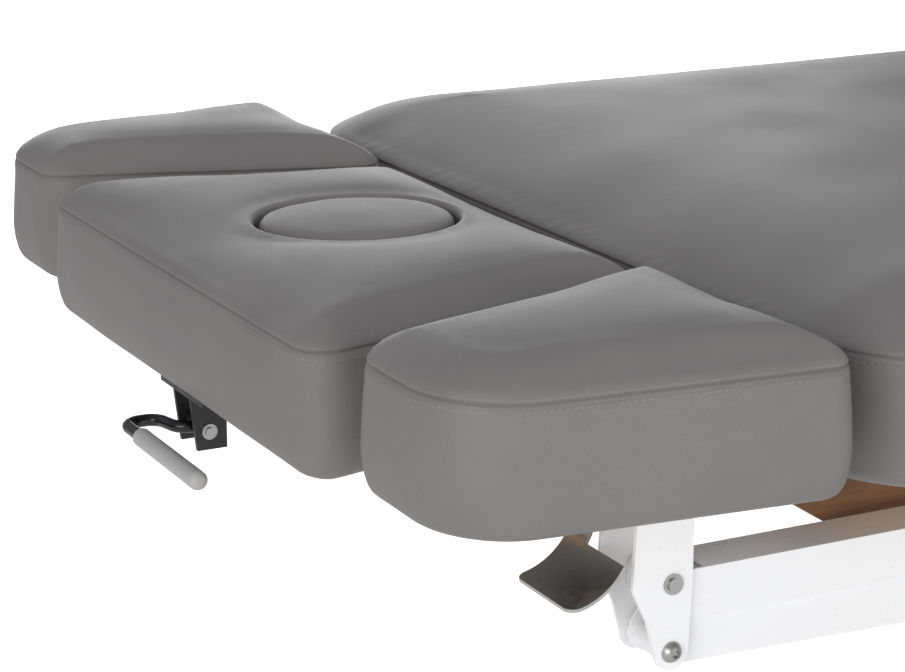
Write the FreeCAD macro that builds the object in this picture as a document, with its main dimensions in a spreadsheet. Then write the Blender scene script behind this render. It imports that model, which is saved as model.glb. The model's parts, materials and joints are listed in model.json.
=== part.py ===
# Spa bed with a cabinet base: X runs from the head end to the foot end, Z is up
import FreeCAD, Part
import math
import os
import re
import Sketcher

SIZES = {
    # Upholstered sections, head to foot
    "bed_width": 800, "face_length": 252, "back_length": 678, "seat_length": 400,
    "leg_length": 560, "section_gap": 8, "face_head_width": 448, "face_foot_width": 330,
    "arm_length": 254, "arm_gap": 12, "arm_side_gap": 8, "arm_head_reach": 379,
    "arm_foot_reach": 387, "arm_rise": 8,
    # Pads
    "pad_base": 600, "pad_side": 78, "pad_crown": 14, "crown_reach": 52, "bed_crown": 24,
    "bed_crown_reach": 100, "back_corner": 100, "seat_corner": 14, "leg_corner": 80,
    "face_corner": 24, "arm_outer_corner": 70, "arm_inner_corner": 20, "arm_foot_corner": 18,
    "least_corner": 5, "stage_gap": 0.3,
    # Boards, rails and cross tubes
    "board_thick": 15, "board_inset": 40, "board_corner": 24, "rail_wide": 22,
    "rail_tall": 59, "rail_place": 249, "rail_setback": 4, "rail_chamfer_long": 62,
    "rail_chamfer_tall": 40, "rail_end_gap": 11, "rest_gap": 1, "cross_tube_side": 25,
    "cross_tube_wall": 2.5,
    # Face section
    "plug_wide": 118, "plug_run": 130, "plug_gap": 1, "plug_ledge": 14, "plug_proud": 2,
    "plug_place": 135, "face_hinge_drop": 14, "face_hinge_pin": 10, "face_arm_place": 103,
    "face_arm_thick": 6, "face_arm_tall": 20, "face_knuckle": 22, "face_plate_thick": 3,
    "lever_inset": 24, "lever_drop": 25, "lever_ear_gap": 24, "lever_ear_thick": 3,
    "lever_ear_long": 24, "lever_pin": 6, "lever_rod": 8, "lever_hub": 14, "lever_reach": 42,
    "lever_kick": 14, "lever_bend": 11, "lever_length": 104, "grip_thick": 12,
    "grip_length": 98,
    # Gas strut of the face section, places from its hinge
    "strut_back_run": 99.5, "strut_back_drop": 48, "strut_face_run": 102.65,
    "strut_face_drop": 31.5, "strut_tube": 18, "strut_tube_length": 108, "strut_rod": 8,
    "strut_rod_length": 158, "strut_eye": 16, "strut_eye_wide": 12, "strut_pin": 6,
    "strut_open_bore": 10.4, "strut_lug_thick": 4, "strut_shoulder": 1.5, "strut_place": 75,
    # Armrest carriers
    "link_place": 290, "link_span": 300, "tip_place": 189, "pin_drop": 54, "pin_spacing": 41,
    "arm_pin": 8, "upper_link_wide": 33, "lower_link_wide": 27.4, "link_wall": 2,
    "upper_web_rise": 5, "upper_leg_drop": 25, "upper_barrel": 16, "web_notch": 26,
    "lower_leg_rise": 18, "lower_web_drop": 10.5, "lower_root_drop": 19, "lower_barrel": 15,
    "plate_gap": 34, "plate_thick": 3, "plate_foot_side": 13, "plate_head_side": 23,
    "plate_end_radius": 11, "flange_long": 84, "flange_wide": 96, "bolt_head": 13,
    "bolt_head_tall": 5, "circlip": 12.5, "circlip_thick": 1.2, "pin_stand_out": 2.6,
    "root_plate_long": 66,
    # Armrest release paddle
    "paddle_pivot_ahead": 7, "paddle_pivot_drop": 9, "paddle_pin": 4, "paddle_hub": 9,
    "paddle_sheet": 2, "paddle_reach": 40, "paddle_fall": 54, "paddle_bulge": 16,
    "paddle_wide": 64, "paddle_neck": 22, "paddle_neck_long": 6, "paddle_outset": 6,
    "paddle_corner": 8, "paddle_ear_thick": 3, "paddle_ear_gap": 0.5,
    # Backrest track
    "track_radius": 195, "track_slot": 14.1, "track_edge": 9, "track_thick": 6,
    "track_low_angle": -33, "track_high_angle": 61, "roller_low_angle": 35,
    "roller_high_angle": 55, "roller": 14, "track_bracket_thick": 8, "track_bracket_gap": 5,
    "track_tab_long": 112,
    # Leg section and its actuator, places from its hinge
    "leg_hinge_drop": 12, "leg_hinge_pin": 12, "leg_knuckle": 24, "leg_leaf_thick": 6,
    "leg_leaf_long": 120, "leg_lug_thick": 8, "leg_rail_start": 62, "ram_seat_run": 61.07,
    "ram_seat_drop": 65.64, "ram_leg_run": 44.98, "ram_leg_drop": 15.1, "ram_tube": 30,
    "ram_tube_length": 62, "ram_rod": 14, "ram_rod_length": 79, "ram_eye": 24,
    "ram_eye_wide": 16, "ram_pin": 10, "ram_open_bore": 12.4, "ram_lug_thick": 5,
    # Lift frame and columns
    "frame_tube_wide": 30, "frame_tube_tall": 44, "frame_tube_wall": 3, "frame_place": 254,
    "frame_head_reach": 330, "frame_foot_reach": 372, "frame_cross_place": 255,
    "frame_middle_wide": 120, "head_column_place": -75, "foot_column_place": 255,
    "column_long": 110, "column_wide": 150, "column_wall": 5, "column_outer_top": 400,
    "column_middle_top": 440, "column_step": 8,
    # Cabinet
    "cabinet_place": 260, "cabinet_length": 860, "cabinet_depth": 480, "cabinet_top": 350, "panel_thick": 18,
    "plinth_tall": 68, "plinth_inset": 40, "foot_tall": 12, "foot_disc": 50,
    "foot_inset": 70, "bay_width": 328, "door_gap": 2, "door_edge_round": 8.8,
    "column_hole_gap": 4, "shelf_tall": 15, "shelf_height": 214, "shelf_setback": 30,
    "hinge_pin": 6, "hinge_pin_length": 12, "hinge_pin_inset": 10, "handle_inset": 30,
    "handle_length": 110, "handle_bar": 10, "handle_post": 8, "handle_stand_off": 26,
    "handle_grip_share": 0.8, "lever_plate_share": 1.5, "lever_clip_share": 1.7,
    "lever_bend_share": 0.94, "grip_round_share": 0.8, "plate_knee_share": 0.3,
    "plate_waist_share": 1.5, "nut_tall_share": 0.7, "track_angle_spare": 4,
    "control_long": 90, "control_deep": 70, "control_tall": 130,
    "control_lift": 40, "inlet_wide": 32, "inlet_tall": 26, "inlet_flange": 4,
    "inlet_height": 150, "inlet_place": 120, "inlet_wall": 4,
    # Fits and cuts
    "pin_clearance": 0.05, "side_clearance": 0.5, "overrun": 5,
}

# Shares of the side height: drawn in by, at height, from the underside to the seam
SIDE_SHARES = (
    (0.21, 0.0), (0.085, 0.06), (0.025, 0.15), (-0.01, 0.34), (-0.005, 0.55), (0.01, 0.8), (0.03, 1.0)
)
# Shares of the crown's reach and rise, from the seam inwards
CROWN_SHARES = ((0.07, 0.3), (0.2, 0.52), (0.48, 0.78), (0.77, 0.94), (1.0, 1.0))

doc = FreeCAD.newDocument("spa_bed")
sheet = doc.addObject("Spreadsheet::Sheet", "Sizes")
for row, (word, number) in enumerate(SIZES.items(), start=1):
    sheet.set(f"A{row}", word)
    sheet.set(f"B{row}", str(number))
    sheet.setAlias(f"B{row}", word)
doc.recompute()

Vector = FreeCAD.Vector
WORDS = re.compile(r"\b(" + "|".join(sorted(SIZES, key=len, reverse=True)) + r")\b")
nodes = {}


# Expressions and values
def bound(text):
    return WORDS.sub(r"Sizes.\1", str(text))


def size(text):
    return float(sheet.evalExpression(bound(text)))


def bind(thing, name, text):
    thing.setExpression(name, bound(text))


# Places worked out from the driving sizes
LEVER_OUT = "(lever_reach - lever_inset + grip_thick / 2)"
HEAD_END = f"(-(face_length + back_length + seat_length + leg_length + 3 * section_gap - {LEVER_OUT}) / 2)"
FACE_END = f"({HEAD_END} + face_length)"
BACK_START = f"({FACE_END} + section_gap)"
BACK_END = f"({BACK_START} + back_length)"
SEAT_START = f"({BACK_END} + section_gap)"
SEAT_END = f"({SEAT_START} + seat_length)"
LEG_START = f"({SEAT_END} + section_gap)"
LEG_END = f"({LEG_START} + leg_length)"
SEAM = "(pad_base + pad_side)"
RAIL_BASE = "(pad_base - rail_tall)"
FRAME_TOP = f"({RAIL_BASE} - rest_gap)"
FRAME_BASE = f"({FRAME_TOP} - frame_tube_tall)"
BACK_PIVOT = f"({BACK_END} + section_gap / 2)"
FACE_PIVOT = f"({FACE_END} + section_gap / 2)"
FACE_PIVOT_Z = "(pad_base - face_hinge_drop)"
LEG_PIVOT = f"({SEAT_END} + section_gap / 2)"
LEG_PIVOT_Z = "(pad_base - leg_hinge_drop)"
CABINET_HEAD = "(cabinet_place - cabinet_length / 2)"
CABINET_FOOT = "(cabinet_place + cabinet_length / 2)"
BAY_FOOT = f"({CABINET_FOOT} - panel_thick)"
BAY_HEAD = f"({BAY_FOOT} - bay_width)"
COLUMN_PLACES = (("head", "head_column_place"), ("foot", "foot_column_place"))
RAIL_IN = "(rail_place - rail_wide / 2)"
RAIL_OUT = "(rail_place + rail_wide / 2)"
ARM_END = f"({BACK_START} - arm_gap)"
ARM_START = f"({ARM_END} - arm_length)"
TIP = f"({ARM_START} + tip_place)"
ROOT = f"({TIP} + link_span)"
PIN_HIGH = "(pad_base - pin_drop)"
PIN_LOW = f"({PIN_HIGH} - pin_spacing)"


# Primitive pieces, each bound to the sheet
def box(name, x, y, z):
    piece = doc.addObject("Part::Box", name)
    for side, axis, (low, high) in zip(("Length", "Width", "Height"), "xyz", (x, y, z)):
        bind(piece, side, f"({high}) - ({low})")
        bind(piece, f"Placement.Base.{axis}", low)
    return piece


def rod(name, axis, place, low, high, diameter):
    piece = doc.addObject("Part::Cylinder", name)
    turns = {"x": (Vector(0, 1, 0), 90), "y": (Vector(1, 0, 0), -90), "z": (Vector(0, 0, 1), 0)}
    piece.Placement = FreeCAD.Placement(Vector(), FreeCAD.Rotation(*turns[axis]))
    bind(piece, "Radius", f"({diameter}) / 2")
    bind(piece, "Height", f"({high}) - ({low})")
    others = [letter for letter in "xyz" if letter != axis]
    bind(piece, f"Placement.Base.{axis}", low)
    for letter, text in zip(others, place):
        bind(piece, f"Placement.Base.{letter}", text)
    return piece


def fuse(name, *pieces):
    piece = doc.addObject("Part::MultiFuse", name)
    piece.Shapes = list(pieces)
    return piece


def cut(name, base, *tools):
    piece = doc.addObject("Part::Cut", name)
    piece.Base = base
    piece.Tool = tools[0] if len(tools) == 1 else fuse(f"{name}_tools", *tools)
    return piece


def group(name, *pieces):
    piece = doc.addObject("Part::Compound", name)
    piece.Links = list(pieces)
    return piece


def mirrored(piece, name=None):
    copy = doc.addObject("Part::Mirroring", name or f"{piece.Name}_mirrored")
    copy.Source = piece
    copy.Normal = Vector(0, 1, 0)
    return copy


def both_sides(name, piece):
    return group(name, piece, mirrored(piece))


def shaped(name, shape):
    piece = doc.addObject("Part::Feature", name)
    piece.Shape = shape
    return piece


def rounded(name, piece, direction, radius, keep=lambda middle: True):
    doc.recompute()
    edges = []
    for number, edge in enumerate(piece.Shape.Edges, start=1):
        straight = isinstance(edge.Curve, Part.Line)
        if straight and abs(edge.tangentAt(edge.FirstParameter).dot(direction)) > 0.999:
            if keep(edge.CenterOfMass):
                edges.append((number, size(radius), size(radius)))
    result = doc.addObject("Part::Fillet", name)
    result.Base = piece
    result.Edges = edges
    return result


def profile(name, plane, low, high, points, holes=()):
    body = doc.addObject("PartDesign::Body", name)
    origin = [item for item in body.Origin.OriginFeatures if item.Role == plane][0]
    sketch = body.newObject("Sketcher::SketchObject", f"{name}_sketch")
    sketch.AttachmentSupport = [(origin, "")]
    sketch.MapMode = "FlatFace"
    start = f"-({high})" if plane == "XZ_Plane" else low
    bind(sketch, "AttachmentOffset.Base.z", start)
    places = [Vector(size(a), size(b), 0) for a, b in points]
    count = len(places)
    for k in range(count):
        sketch.addGeometry(Part.LineSegment(places[k], places[(k + 1) % count]), False)
    for k in range(count):
        sketch.addConstraint(Sketcher.Constraint("Coincident", k, 2, (k + 1) % count, 1))
    for k, texts in enumerate(points):
        for kind, text, number in zip(("DistanceX", "DistanceY"), texts, places[k]):
            made = sketch.addConstraint(Sketcher.Constraint(kind, -1, 1, k, 1, number))
            bind(sketch, f"Constraints[{made}]", text)
    for a, b, diameter in holes:
        middle = Vector(size(a), size(b), 0)
        ring = sketch.addGeometry(Part.Circle(middle, Vector(0, 0, 1), size(diameter) / 2), False)
        for kind, text, number in zip(("DistanceX", "DistanceY"), (a, b), middle):
            made = sketch.addConstraint(Sketcher.Constraint(kind, -1, 1, ring, 3, number))
            bind(sketch, f"Constraints[{made}]", text)
        made = sketch.addConstraint(Sketcher.Constraint("Radius", ring, size(diameter) / 2))
        bind(sketch, f"Constraints[{made}]", f"({diameter}) / 2")
    pad = body.newObject("PartDesign::Pad", f"{name}_pad")
    pad.Profile = (sketch, [""])
    bind(pad, "Length", f"({high}) - ({low})")
    return body


def hollow_tube(name, x, y, z, wall, axis):
    outer = box(f"{name}_outside", x, y, z)
    spans = []
    for letter, (low, high) in zip("xyz", (x, y, z)):
        grow = "overrun" if letter == axis else f"-({wall})"
        spans.append((f"({low}) - ({grow})", f"({high}) + ({grow})"))
    return cut(name, outer, box(f"{name}_inside", *spans))


def node(name, piece):
    piece.Label = name
    nodes[name] = piece
    return piece


# Rounded outlines and padded forms
def outline(corners, radii, inset, height):
    count = len(corners)
    points = [Vector(*corner, 0) for corner in corners]
    normals = []
    for k in range(count):
        along = (points[(k + 1) % count] - points[k]).normalize()
        normals.append(Vector(-along.y, along.x, 0))
    moved = []
    for k in range(count):
        before, after = normals[k - 1], normals[k]
        moved.append(points[k] + (before + after) * (inset / (1 + before.dot(after))))
    sides = [(moved[(k + 1) % count] - moved[k]).Length for k in range(count)]
    pulls, rounds = [], []
    for k in range(count):
        back = (moved[k - 1] - moved[k]).normalize()
        ahead = (moved[(k + 1) % count] - moved[k]).normalize()
        half = math.acos(back.dot(ahead)) / 2
        rounds.append(max(radii[k] - inset, size("least_corner")))
        pulls.append(rounds[k] / math.tan(half))
    for k in range(count):
        room = min(sides[k - 1] / (pulls[k - 1] + pulls[k]), sides[k] / (pulls[k] + pulls[(k + 1) % count]))
        if room < 1.02:
            pulls[k] *= room / 1.02
    lift = Vector(0, 0, height)
    edges, starts, ends, middles = [], [], [], []
    for k in range(count):
        back = (moved[k - 1] - moved[k]).normalize()
        ahead = (moved[(k + 1) % count] - moved[k]).normalize()
        half = math.acos(back.dot(ahead)) / 2
        radius = pulls[k] * math.tan(half)
        centre = moved[k] + (back + ahead).normalize() * (radius / math.sin(half))
        starts.append(moved[k] + back * pulls[k] + lift)
        ends.append(moved[k] + ahead * pulls[k] + lift)
        middles.append(centre + (moved[k] - centre).normalize() * radius + lift)
    for k in range(count):
        edges.append(Part.Arc(starts[k], middles[k], ends[k]).toShape())
        edges.append(Part.LineSegment(ends[k], starts[(k + 1) % count]).toShape())
    return Part.Wire(edges)


def cushion_shape(corners, radii, reach, crown, base):
    side = size("pad_side")
    wires = [outline(corners, radii, inset * side, base + rise * side) for inset, rise in SIDE_SHARES]
    rim = SIDE_SHARES[-1][0] * side
    for inset, rise in CROWN_SHARES:
        wires.append(outline(corners, radii, rim + inset * reach, base + side + rise * crown))
    return Part.makeLoft(wires, True, True)


def board_shape(corners, base):
    inset = size("board_inset")
    wire = outline(corners, [size("board_corner")] * len(corners), inset, base)
    return Part.Face(wire).extrude(Vector(0, 0, size("board_thick")))


def section_corners(start, end, head_half, foot_half):
    a, b, head, foot = (size(text) for text in (start, end, head_half, foot_half))
    return [(a, -head), (b, -foot), (b, foot), (a, head)]


# Face plug outline: an oval of four arcs
def plug_wire(grow, height):
    middle = Vector(size(f"{HEAD_END} + plug_place"), 0, height)
    half_wide = size("plug_wide / 2") + grow
    half_run = size("plug_run / 2") + grow
    points = []
    for turn in range(8):
        angle = math.pi / 4 * turn
        points.append(middle + Vector(half_run * math.cos(angle), half_wide * math.sin(angle), 0))
    arcs = []
    for k in range(0, 8, 2):
        arcs.append(Part.Arc(points[k], points[k + 1], points[(k + 2) % 8]).toShape())
    return Part.Wire(arcs)


# Section pads with their boards
def section(name, corners, radii, reach, crown, rise=0, hole=False):
    doc.recompute()
    base = size("pad_base") + rise
    board = board_shape(corners, base)
    cushion = cushion_shape(corners, radii, reach, crown, base).cut(board)
    if hole:
        side = size("pad_side")
        run = size("overrun")
        floor = base + size("board_thick")
        well = Part.Face(plug_wire(size("plug_gap"), base - run))
        cushion = cushion.cut(well.extrude(Vector(0, 0, side + crown + 2 * run)))
        mouth = Part.Face(plug_wire(-size("plug_ledge"), base - run))
        board = board.cut(mouth.extrude(Vector(0, 0, size("board_thick") + 2 * run)))
        levels = ((0, floor), (0, base + side), (-size("plug_gap") * 3, base + side + crown))
        wires = [plug_wire(grow, height) for grow, height in levels]
        top = plug_wire(-size("plug_ledge"), base + side + crown + size("plug_proud"))
        node("face_plug", shaped("face_plug", Part.makeLoft(wires + [top], True, True)))
    node(f"{name}_board", shaped(f"{name}_board", board))
    node(f"{name}_cushion", shaped(f"{name}_cushion", cushion))


HALF = "bed_width / 2"
bed_dome = (size("bed_crown_reach"), size("bed_crown"))
dome = (size("crown_reach"), size("pad_crown"))
blunt, soft, round_end = size("seat_corner"), size("back_corner"), size("leg_corner")
face_round = size("face_corner")
section("back", section_corners(BACK_START, BACK_END, HALF, HALF), [soft, blunt, blunt, soft], *bed_dome)
section("seat", section_corners(SEAT_START, SEAT_END, HALF, HALF), [blunt] * 4, *bed_dome)
section(
    "leg", section_corners(LEG_START, LEG_END, HALF, HALF), [blunt, round_end, round_end, blunt], *bed_dome
)
section(
    "face",
    section_corners(HEAD_END, FACE_END, "face_head_width / 2", "face_foot_width / 2"),
    [face_round] * 4,
    *dome,
    hole=True,
)


# Armrest pads: the inner edge runs along the face pad's side
def face_half_at(place):
    slope = f"(face_foot_width - face_head_width) / 2 / face_length"
    return f"face_head_width / 2 + (({place}) - {HEAD_END}) * {slope}"


arm_corners = [
    (size(ARM_START), -size("arm_head_reach")),
    (size(ARM_END), -size("arm_foot_reach")),
    (size(ARM_END), -size(f"{face_half_at(ARM_END)} + arm_side_gap")),
    (size(ARM_START), -size(f"{face_half_at(ARM_START)} + arm_side_gap")),
]
arm_radii = [
    size(word) for word in ("arm_outer_corner", "arm_foot_corner", "arm_inner_corner", "arm_inner_corner")
]
section("near_armrest", arm_corners, arm_radii, *dome, rise=size("arm_rise"))
for item in ("board", "cushion"):
    node(f"far_armrest_{item}", mirrored(nodes[f"near_armrest_{item}"], f"far_armrest_{item}"))


# Wooden rails under the boards, with the corner below the head end cut back
def rails(name, start, end, low, slanted):
    high = "pad_base"
    head = [(start, high)]
    if slanted:
        head.append((start, f"{high} - (rail_tall - rail_chamfer_tall)"))
        head.append((f"{start} + rail_chamfer_long", low))
    else:
        head.append((start, low))
    points = head + [(end, low), (end, high)]
    rail = profile(f"{name}_near", "XZ_Plane", f"-{RAIL_OUT}", f"-{RAIL_IN}", points)
    return node(name, both_sides(name, rail))


rails("back_rails", f"({BACK_START} + rail_setback)", f"({BACK_END} - rail_end_gap)", RAIL_BASE, True)
rails("seat_rails", f"({SEAT_START} + rail_end_gap)", f"({SEAT_END} - rail_end_gap)", FRAME_TOP, False)
rails("leg_rails", f"({LEG_START} + leg_rail_start)", f"({LEG_END} - board_inset)", RAIL_BASE, True)


# Cross tubes of the backrest: the first carries the face hinge, the second its strut
def cross_tube(name, middle):
    half = "cross_tube_side / 2"
    spans = (
        (f"{middle} - {half}", f"{middle} + {half}"),
        (f"-{RAIL_IN}", RAIL_IN),
        ("pad_base - cross_tube_side", "pad_base"),
    )
    return hollow_tube(name, *spans, "cross_tube_wall", "y")


FIRST_TUBE = f"({FACE_PIVOT} + face_knuckle / 2 + cross_tube_side / 2 + section_gap)"
STRUT_BACK = f"({FACE_PIVOT} + strut_back_run)"
STRUT_BACK_Z = f"({FACE_PIVOT_Z} - strut_back_drop)"
STRUT_FACE = f"({FACE_PIVOT} - strut_face_run)"
STRUT_FACE_Z = f"({FACE_PIVOT_Z} - strut_face_drop)"
tubes = [cross_tube("first_cross_tube", FIRST_TUBE), cross_tube("strut_cross_tube", STRUT_BACK)]
tubes.append(cross_tube("root_cross_tube", ROOT))


# Knuckle plate: a bar with a round end and a bore
def ear(name, y, x_pin, z_pin, outer, bore, points):
    plate = profile(f"{name}_plate", "XZ_Plane", *y, points)
    eye = rod(f"{name}_eye", "y", (x_pin, z_pin), *y, outer)
    hole = rod(f"{name}_bore", "y", (x_pin, z_pin), f"{y[0]} - overrun", f"{y[1]} + overrun", bore)
    return cut(name, fuse(f"{name}_solid", plate, eye), hole)


# Hinge between backrest and face section
FACE_BORE = "face_hinge_pin + 2 * pin_clearance"
ARM_Y = ("-face_arm_place - face_arm_thick / 2", "-face_arm_place + face_arm_thick / 2")
lug_pieces = []
for tag, low, high in (
    ("outer", f"{ARM_Y[0]} - side_clearance - face_arm_thick", f"{ARM_Y[0]} - side_clearance"),
    ("inner", f"{ARM_Y[1]} + side_clearance", f"{ARM_Y[1]} + side_clearance + face_arm_thick"),
):
    points = [
        (FACE_PIVOT, f"{FACE_PIVOT_Z} - face_knuckle / 2"),
        (f"{FIRST_TUBE} - cross_tube_side / 2", f"{FACE_PIVOT_Z} - face_knuckle / 2"),
        (f"{FIRST_TUBE} - cross_tube_side / 2", f"{FACE_PIVOT_Z} + face_knuckle / 2"),
        (FACE_PIVOT, f"{FACE_PIVOT_Z} + face_knuckle / 2"),
    ]
    lug = ear(f"face_lug_{tag}", (low, high), FACE_PIVOT, FACE_PIVOT_Z, "face_knuckle", FACE_BORE, points)
    lug_pieces += [lug, mirrored(lug)]
LUG_OUT = "(strut_eye_wide / 2 + side_clearance + strut_lug_thick)"
LUG_SIDES = (
    ("near", f"strut_place - {LUG_OUT}", "strut_place - strut_eye_wide / 2 - side_clearance"),
    ("far", "strut_place + strut_eye_wide / 2 + side_clearance", f"strut_place + {LUG_OUT}"),
)
points = [
    (f"{STRUT_BACK} - strut_eye / 2", STRUT_BACK_Z),
    (f"{STRUT_BACK} + strut_eye / 2", STRUT_BACK_Z),
    (f"{STRUT_BACK} + strut_eye / 2", "pad_base - cross_tube_side"),
    (f"{STRUT_BACK} - strut_eye / 2", "pad_base - cross_tube_side"),
]
for tag, low, high in LUG_SIDES:
    lug = ear(f"strut_lug_{tag}", (low, high), STRUT_BACK, STRUT_BACK_Z, "strut_eye", "strut_pin", points)
    lug_pieces.append(lug)
strut_span = (f"strut_place - {LUG_OUT}", f"strut_place + {LUG_OUT}")
lug_pieces.append(rod("strut_back_pin", "y", (STRUT_BACK, STRUT_BACK_Z), *strut_span, "strut_pin"))
node("back_cross_tubes", fuse("back_cross_tubes", *tubes, *lug_pieces))

# Face frame: two arms, a head plate with the lever's ears and the strut's lower ears
ARM_HEAD = f"({HEAD_END} + board_inset)"
LEVER_X = f"({HEAD_END} + lever_inset)"
LEVER_Z = "(pad_base - lever_drop)"
points = [
    (FACE_PIVOT, f"{FACE_PIVOT_Z} - face_arm_tall / 2"),
    (FACE_PIVOT, f"{FACE_PIVOT_Z} + face_arm_tall / 2"),
    (f"{FACE_PIVOT} - face_knuckle", "pad_base"),
    (ARM_HEAD, "pad_base"),
    (ARM_HEAD, "pad_base - face_arm_tall / 2"),
    (f"{FACE_PIVOT} - face_knuckle", f"{FACE_PIVOT_Z} - face_arm_tall / 2"),
]
arm = ear("face_arm", ARM_Y, FACE_PIVOT, FACE_PIVOT_Z, "face_knuckle", "face_hinge_pin", points)
plate = box(
    "face_head_plate", (f"{LEVER_X} - lever_ear_long / 2", f"{ARM_HEAD} + face_arm_tall"),
    ("-lever_ear_gap * lever_plate_share", "lever_ear_gap * lever_plate_share"),
    ("pad_base - face_plate_thick", "pad_base"),
)
cross = box(
    "face_cross_bar", (f"{ARM_HEAD}", f"{ARM_HEAD} + face_arm_tall"),
    (ARM_Y[0], f"-({ARM_Y[0]})"), ("pad_base - face_plate_thick", "pad_base"),
)
strut_bar = box(
    "face_strut_bar", (f"{STRUT_FACE} - strut_eye / 2", f"{STRUT_FACE} + strut_eye / 2"),
    (strut_span[0], f"-({ARM_Y[0]})"), ("pad_base - face_plate_thick * 2", "pad_base"),
)
ear_y = ("-lever_ear_gap / 2 - lever_ear_thick", "-lever_ear_gap / 2")
points = [
    (f"{LEVER_X} - lever_ear_long / 2", "pad_base - face_plate_thick"),
    (f"{LEVER_X} - lever_ear_long / 3", f"{LEVER_Z} - lever_ear_long / 2"),
    (f"{LEVER_X} + lever_ear_long / 2", f"{LEVER_Z} - lever_ear_long / 2"),
    (f"{LEVER_X} + lever_ear_long / 2", "pad_base - face_plate_thick"),
]
lever_ear = profile("lever_ear", "XZ_Plane", *ear_y, points, [(LEVER_X, LEVER_Z, "lever_pin")])
points = [
    (f"{STRUT_FACE} - strut_eye / 2", "pad_base"),
    (f"{STRUT_FACE} - strut_eye / 2", STRUT_FACE_Z),
    (f"{STRUT_FACE} + strut_eye / 2", STRUT_FACE_Z),
    (f"{STRUT_FACE} + strut_eye / 2", "pad_base"),
]
pieces = [arm, mirrored(arm), plate, cross, strut_bar, lever_ear, mirrored(lever_ear)]
for tag, low, high in LUG_SIDES:
    pieces.append(
        ear(f"open_ear_{tag}", (low, high), STRUT_FACE, STRUT_FACE_Z, "strut_eye", "strut_pin", points)
    )
node("face_frame", fuse("face_frame", *pieces))
face_pin_reach = f"(face_arm_place + face_arm_thick * 2)"
face_pin = rod(
    "face_pin", "y", (FACE_PIVOT, FACE_PIVOT_Z), f"-{face_pin_reach}", face_pin_reach, "face_hinge_pin"
)
open_pin = rod("open_pin", "y", (STRUT_FACE, STRUT_FACE_Z), *strut_span, "strut_pin")
pin_half = "(lever_ear_gap / 2 + lever_ear_thick + pin_stand_out)"
lever_pin = rod("lever_pin_body", "y", (LEVER_X, LEVER_Z), f"-{pin_half}", pin_half, "lever_pin")
clip_y = "(lever_ear_gap / 2 + lever_ear_thick)"
clips = [
    rod(
        "lever_clip_near", "y", (LEVER_X, LEVER_Z), f"-{clip_y} - circlip_thick", f"-{clip_y}",
        "lever_pin * lever_clip_share"
    ),
    rod(
        "lever_clip_far", "y", (LEVER_X, LEVER_Z), clip_y, f"{clip_y} + circlip_thick",
        "lever_pin * lever_clip_share",
    ),
]
node("face_pins", group("face_pins", face_pin, open_pin, fuse("lever_pin_clipped", lever_pin, *clips)))


# Release lever: a bent rod on a hub, with a foam grip
def pipe(points, radius, diameter):
    edges = []
    previous = points[0]
    for k in range(1, len(points) - 1):
        back = (points[k - 1] - points[k]).normalize()
        ahead = (points[k + 1] - points[k]).normalize()
        half = math.acos(back.dot(ahead)) / 2
        pull = radius / math.tan(half)
        start, end = points[k] + back * pull, points[k] + ahead * pull
        centre = points[k] + (back + ahead).normalize() * (radius / math.sin(half))
        middle = centre + (points[k] - centre).normalize() * radius
        edges.append(Part.LineSegment(previous, start).toShape())
        edges.append(Part.Arc(start, middle, end).toShape())
        previous = end
    edges.append(Part.LineSegment(previous, points[-1]).toShape())
    path = Part.Wire(edges)
    ring = Part.Wire([Part.makeCircle(diameter / 2, points[0], points[1] - points[0])])
    return path.makePipeShell([ring], True, False)


lever_x, lever_z = size(LEVER_X), size(LEVER_Z)
bend = size("lever_bend")
kick = size("lever_kick")
tip_x = lever_x - size("lever_reach")
lever_end = kick - size("lever_length") - bend
lever_points = [
    Vector(lever_x, 0, lever_z),
    Vector(lever_x - size("lever_hub"), 0, lever_z),
    Vector(tip_x + 2 * bend, kick + bend, lever_z),
    Vector(tip_x, kick + bend, lever_z),
    Vector(tip_x, lever_end, lever_z),
]
hub_half = size("lever_ear_gap / 2 - side_clearance")
hub = Part.makeCylinder(
    size("lever_hub / 2"), 2 * hub_half, Vector(lever_x, -hub_half, lever_z), Vector(0, 1, 0)
)
bore = Part.makeCylinder(
    size("lever_pin / 2 + pin_clearance"), 4 * hub_half, Vector(lever_x, -2 * hub_half, lever_z),
    Vector(0, 1, 0)
)
rod_shape = pipe(lever_points, bend * size("lever_bend_share"), size("lever_rod"))
node("face_lever", shaped("face_lever", rod_shape.fuse(hub).cut(bore).removeSplitter()))
grip_half = size("grip_thick / 2")
grip_end = lever_end - size("grip_thick") / 3
grip = Part.makeCylinder(grip_half, size("grip_length"), Vector(tip_x, grip_end, lever_z), Vector(0, 1, 0))
ends = [edge for edge in grip.Edges if isinstance(edge.Curve, Part.Circle)]
grip_tip = [edge for edge in ends if edge.CenterOfMass.y < grip_end + 1]
grip = grip.makeFillet(grip_half * size("grip_round_share"), grip_tip)
grip_bore = pipe(
    [Vector(tip_x, kick, lever_z), Vector(tip_x, 0, lever_z), Vector(tip_x, lever_end, lever_z)][::2], bend,
    size("lever_rod")
)
node("face_lever_grip", shaped("face_lever_grip", grip.cut(grip_bore)))


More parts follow.
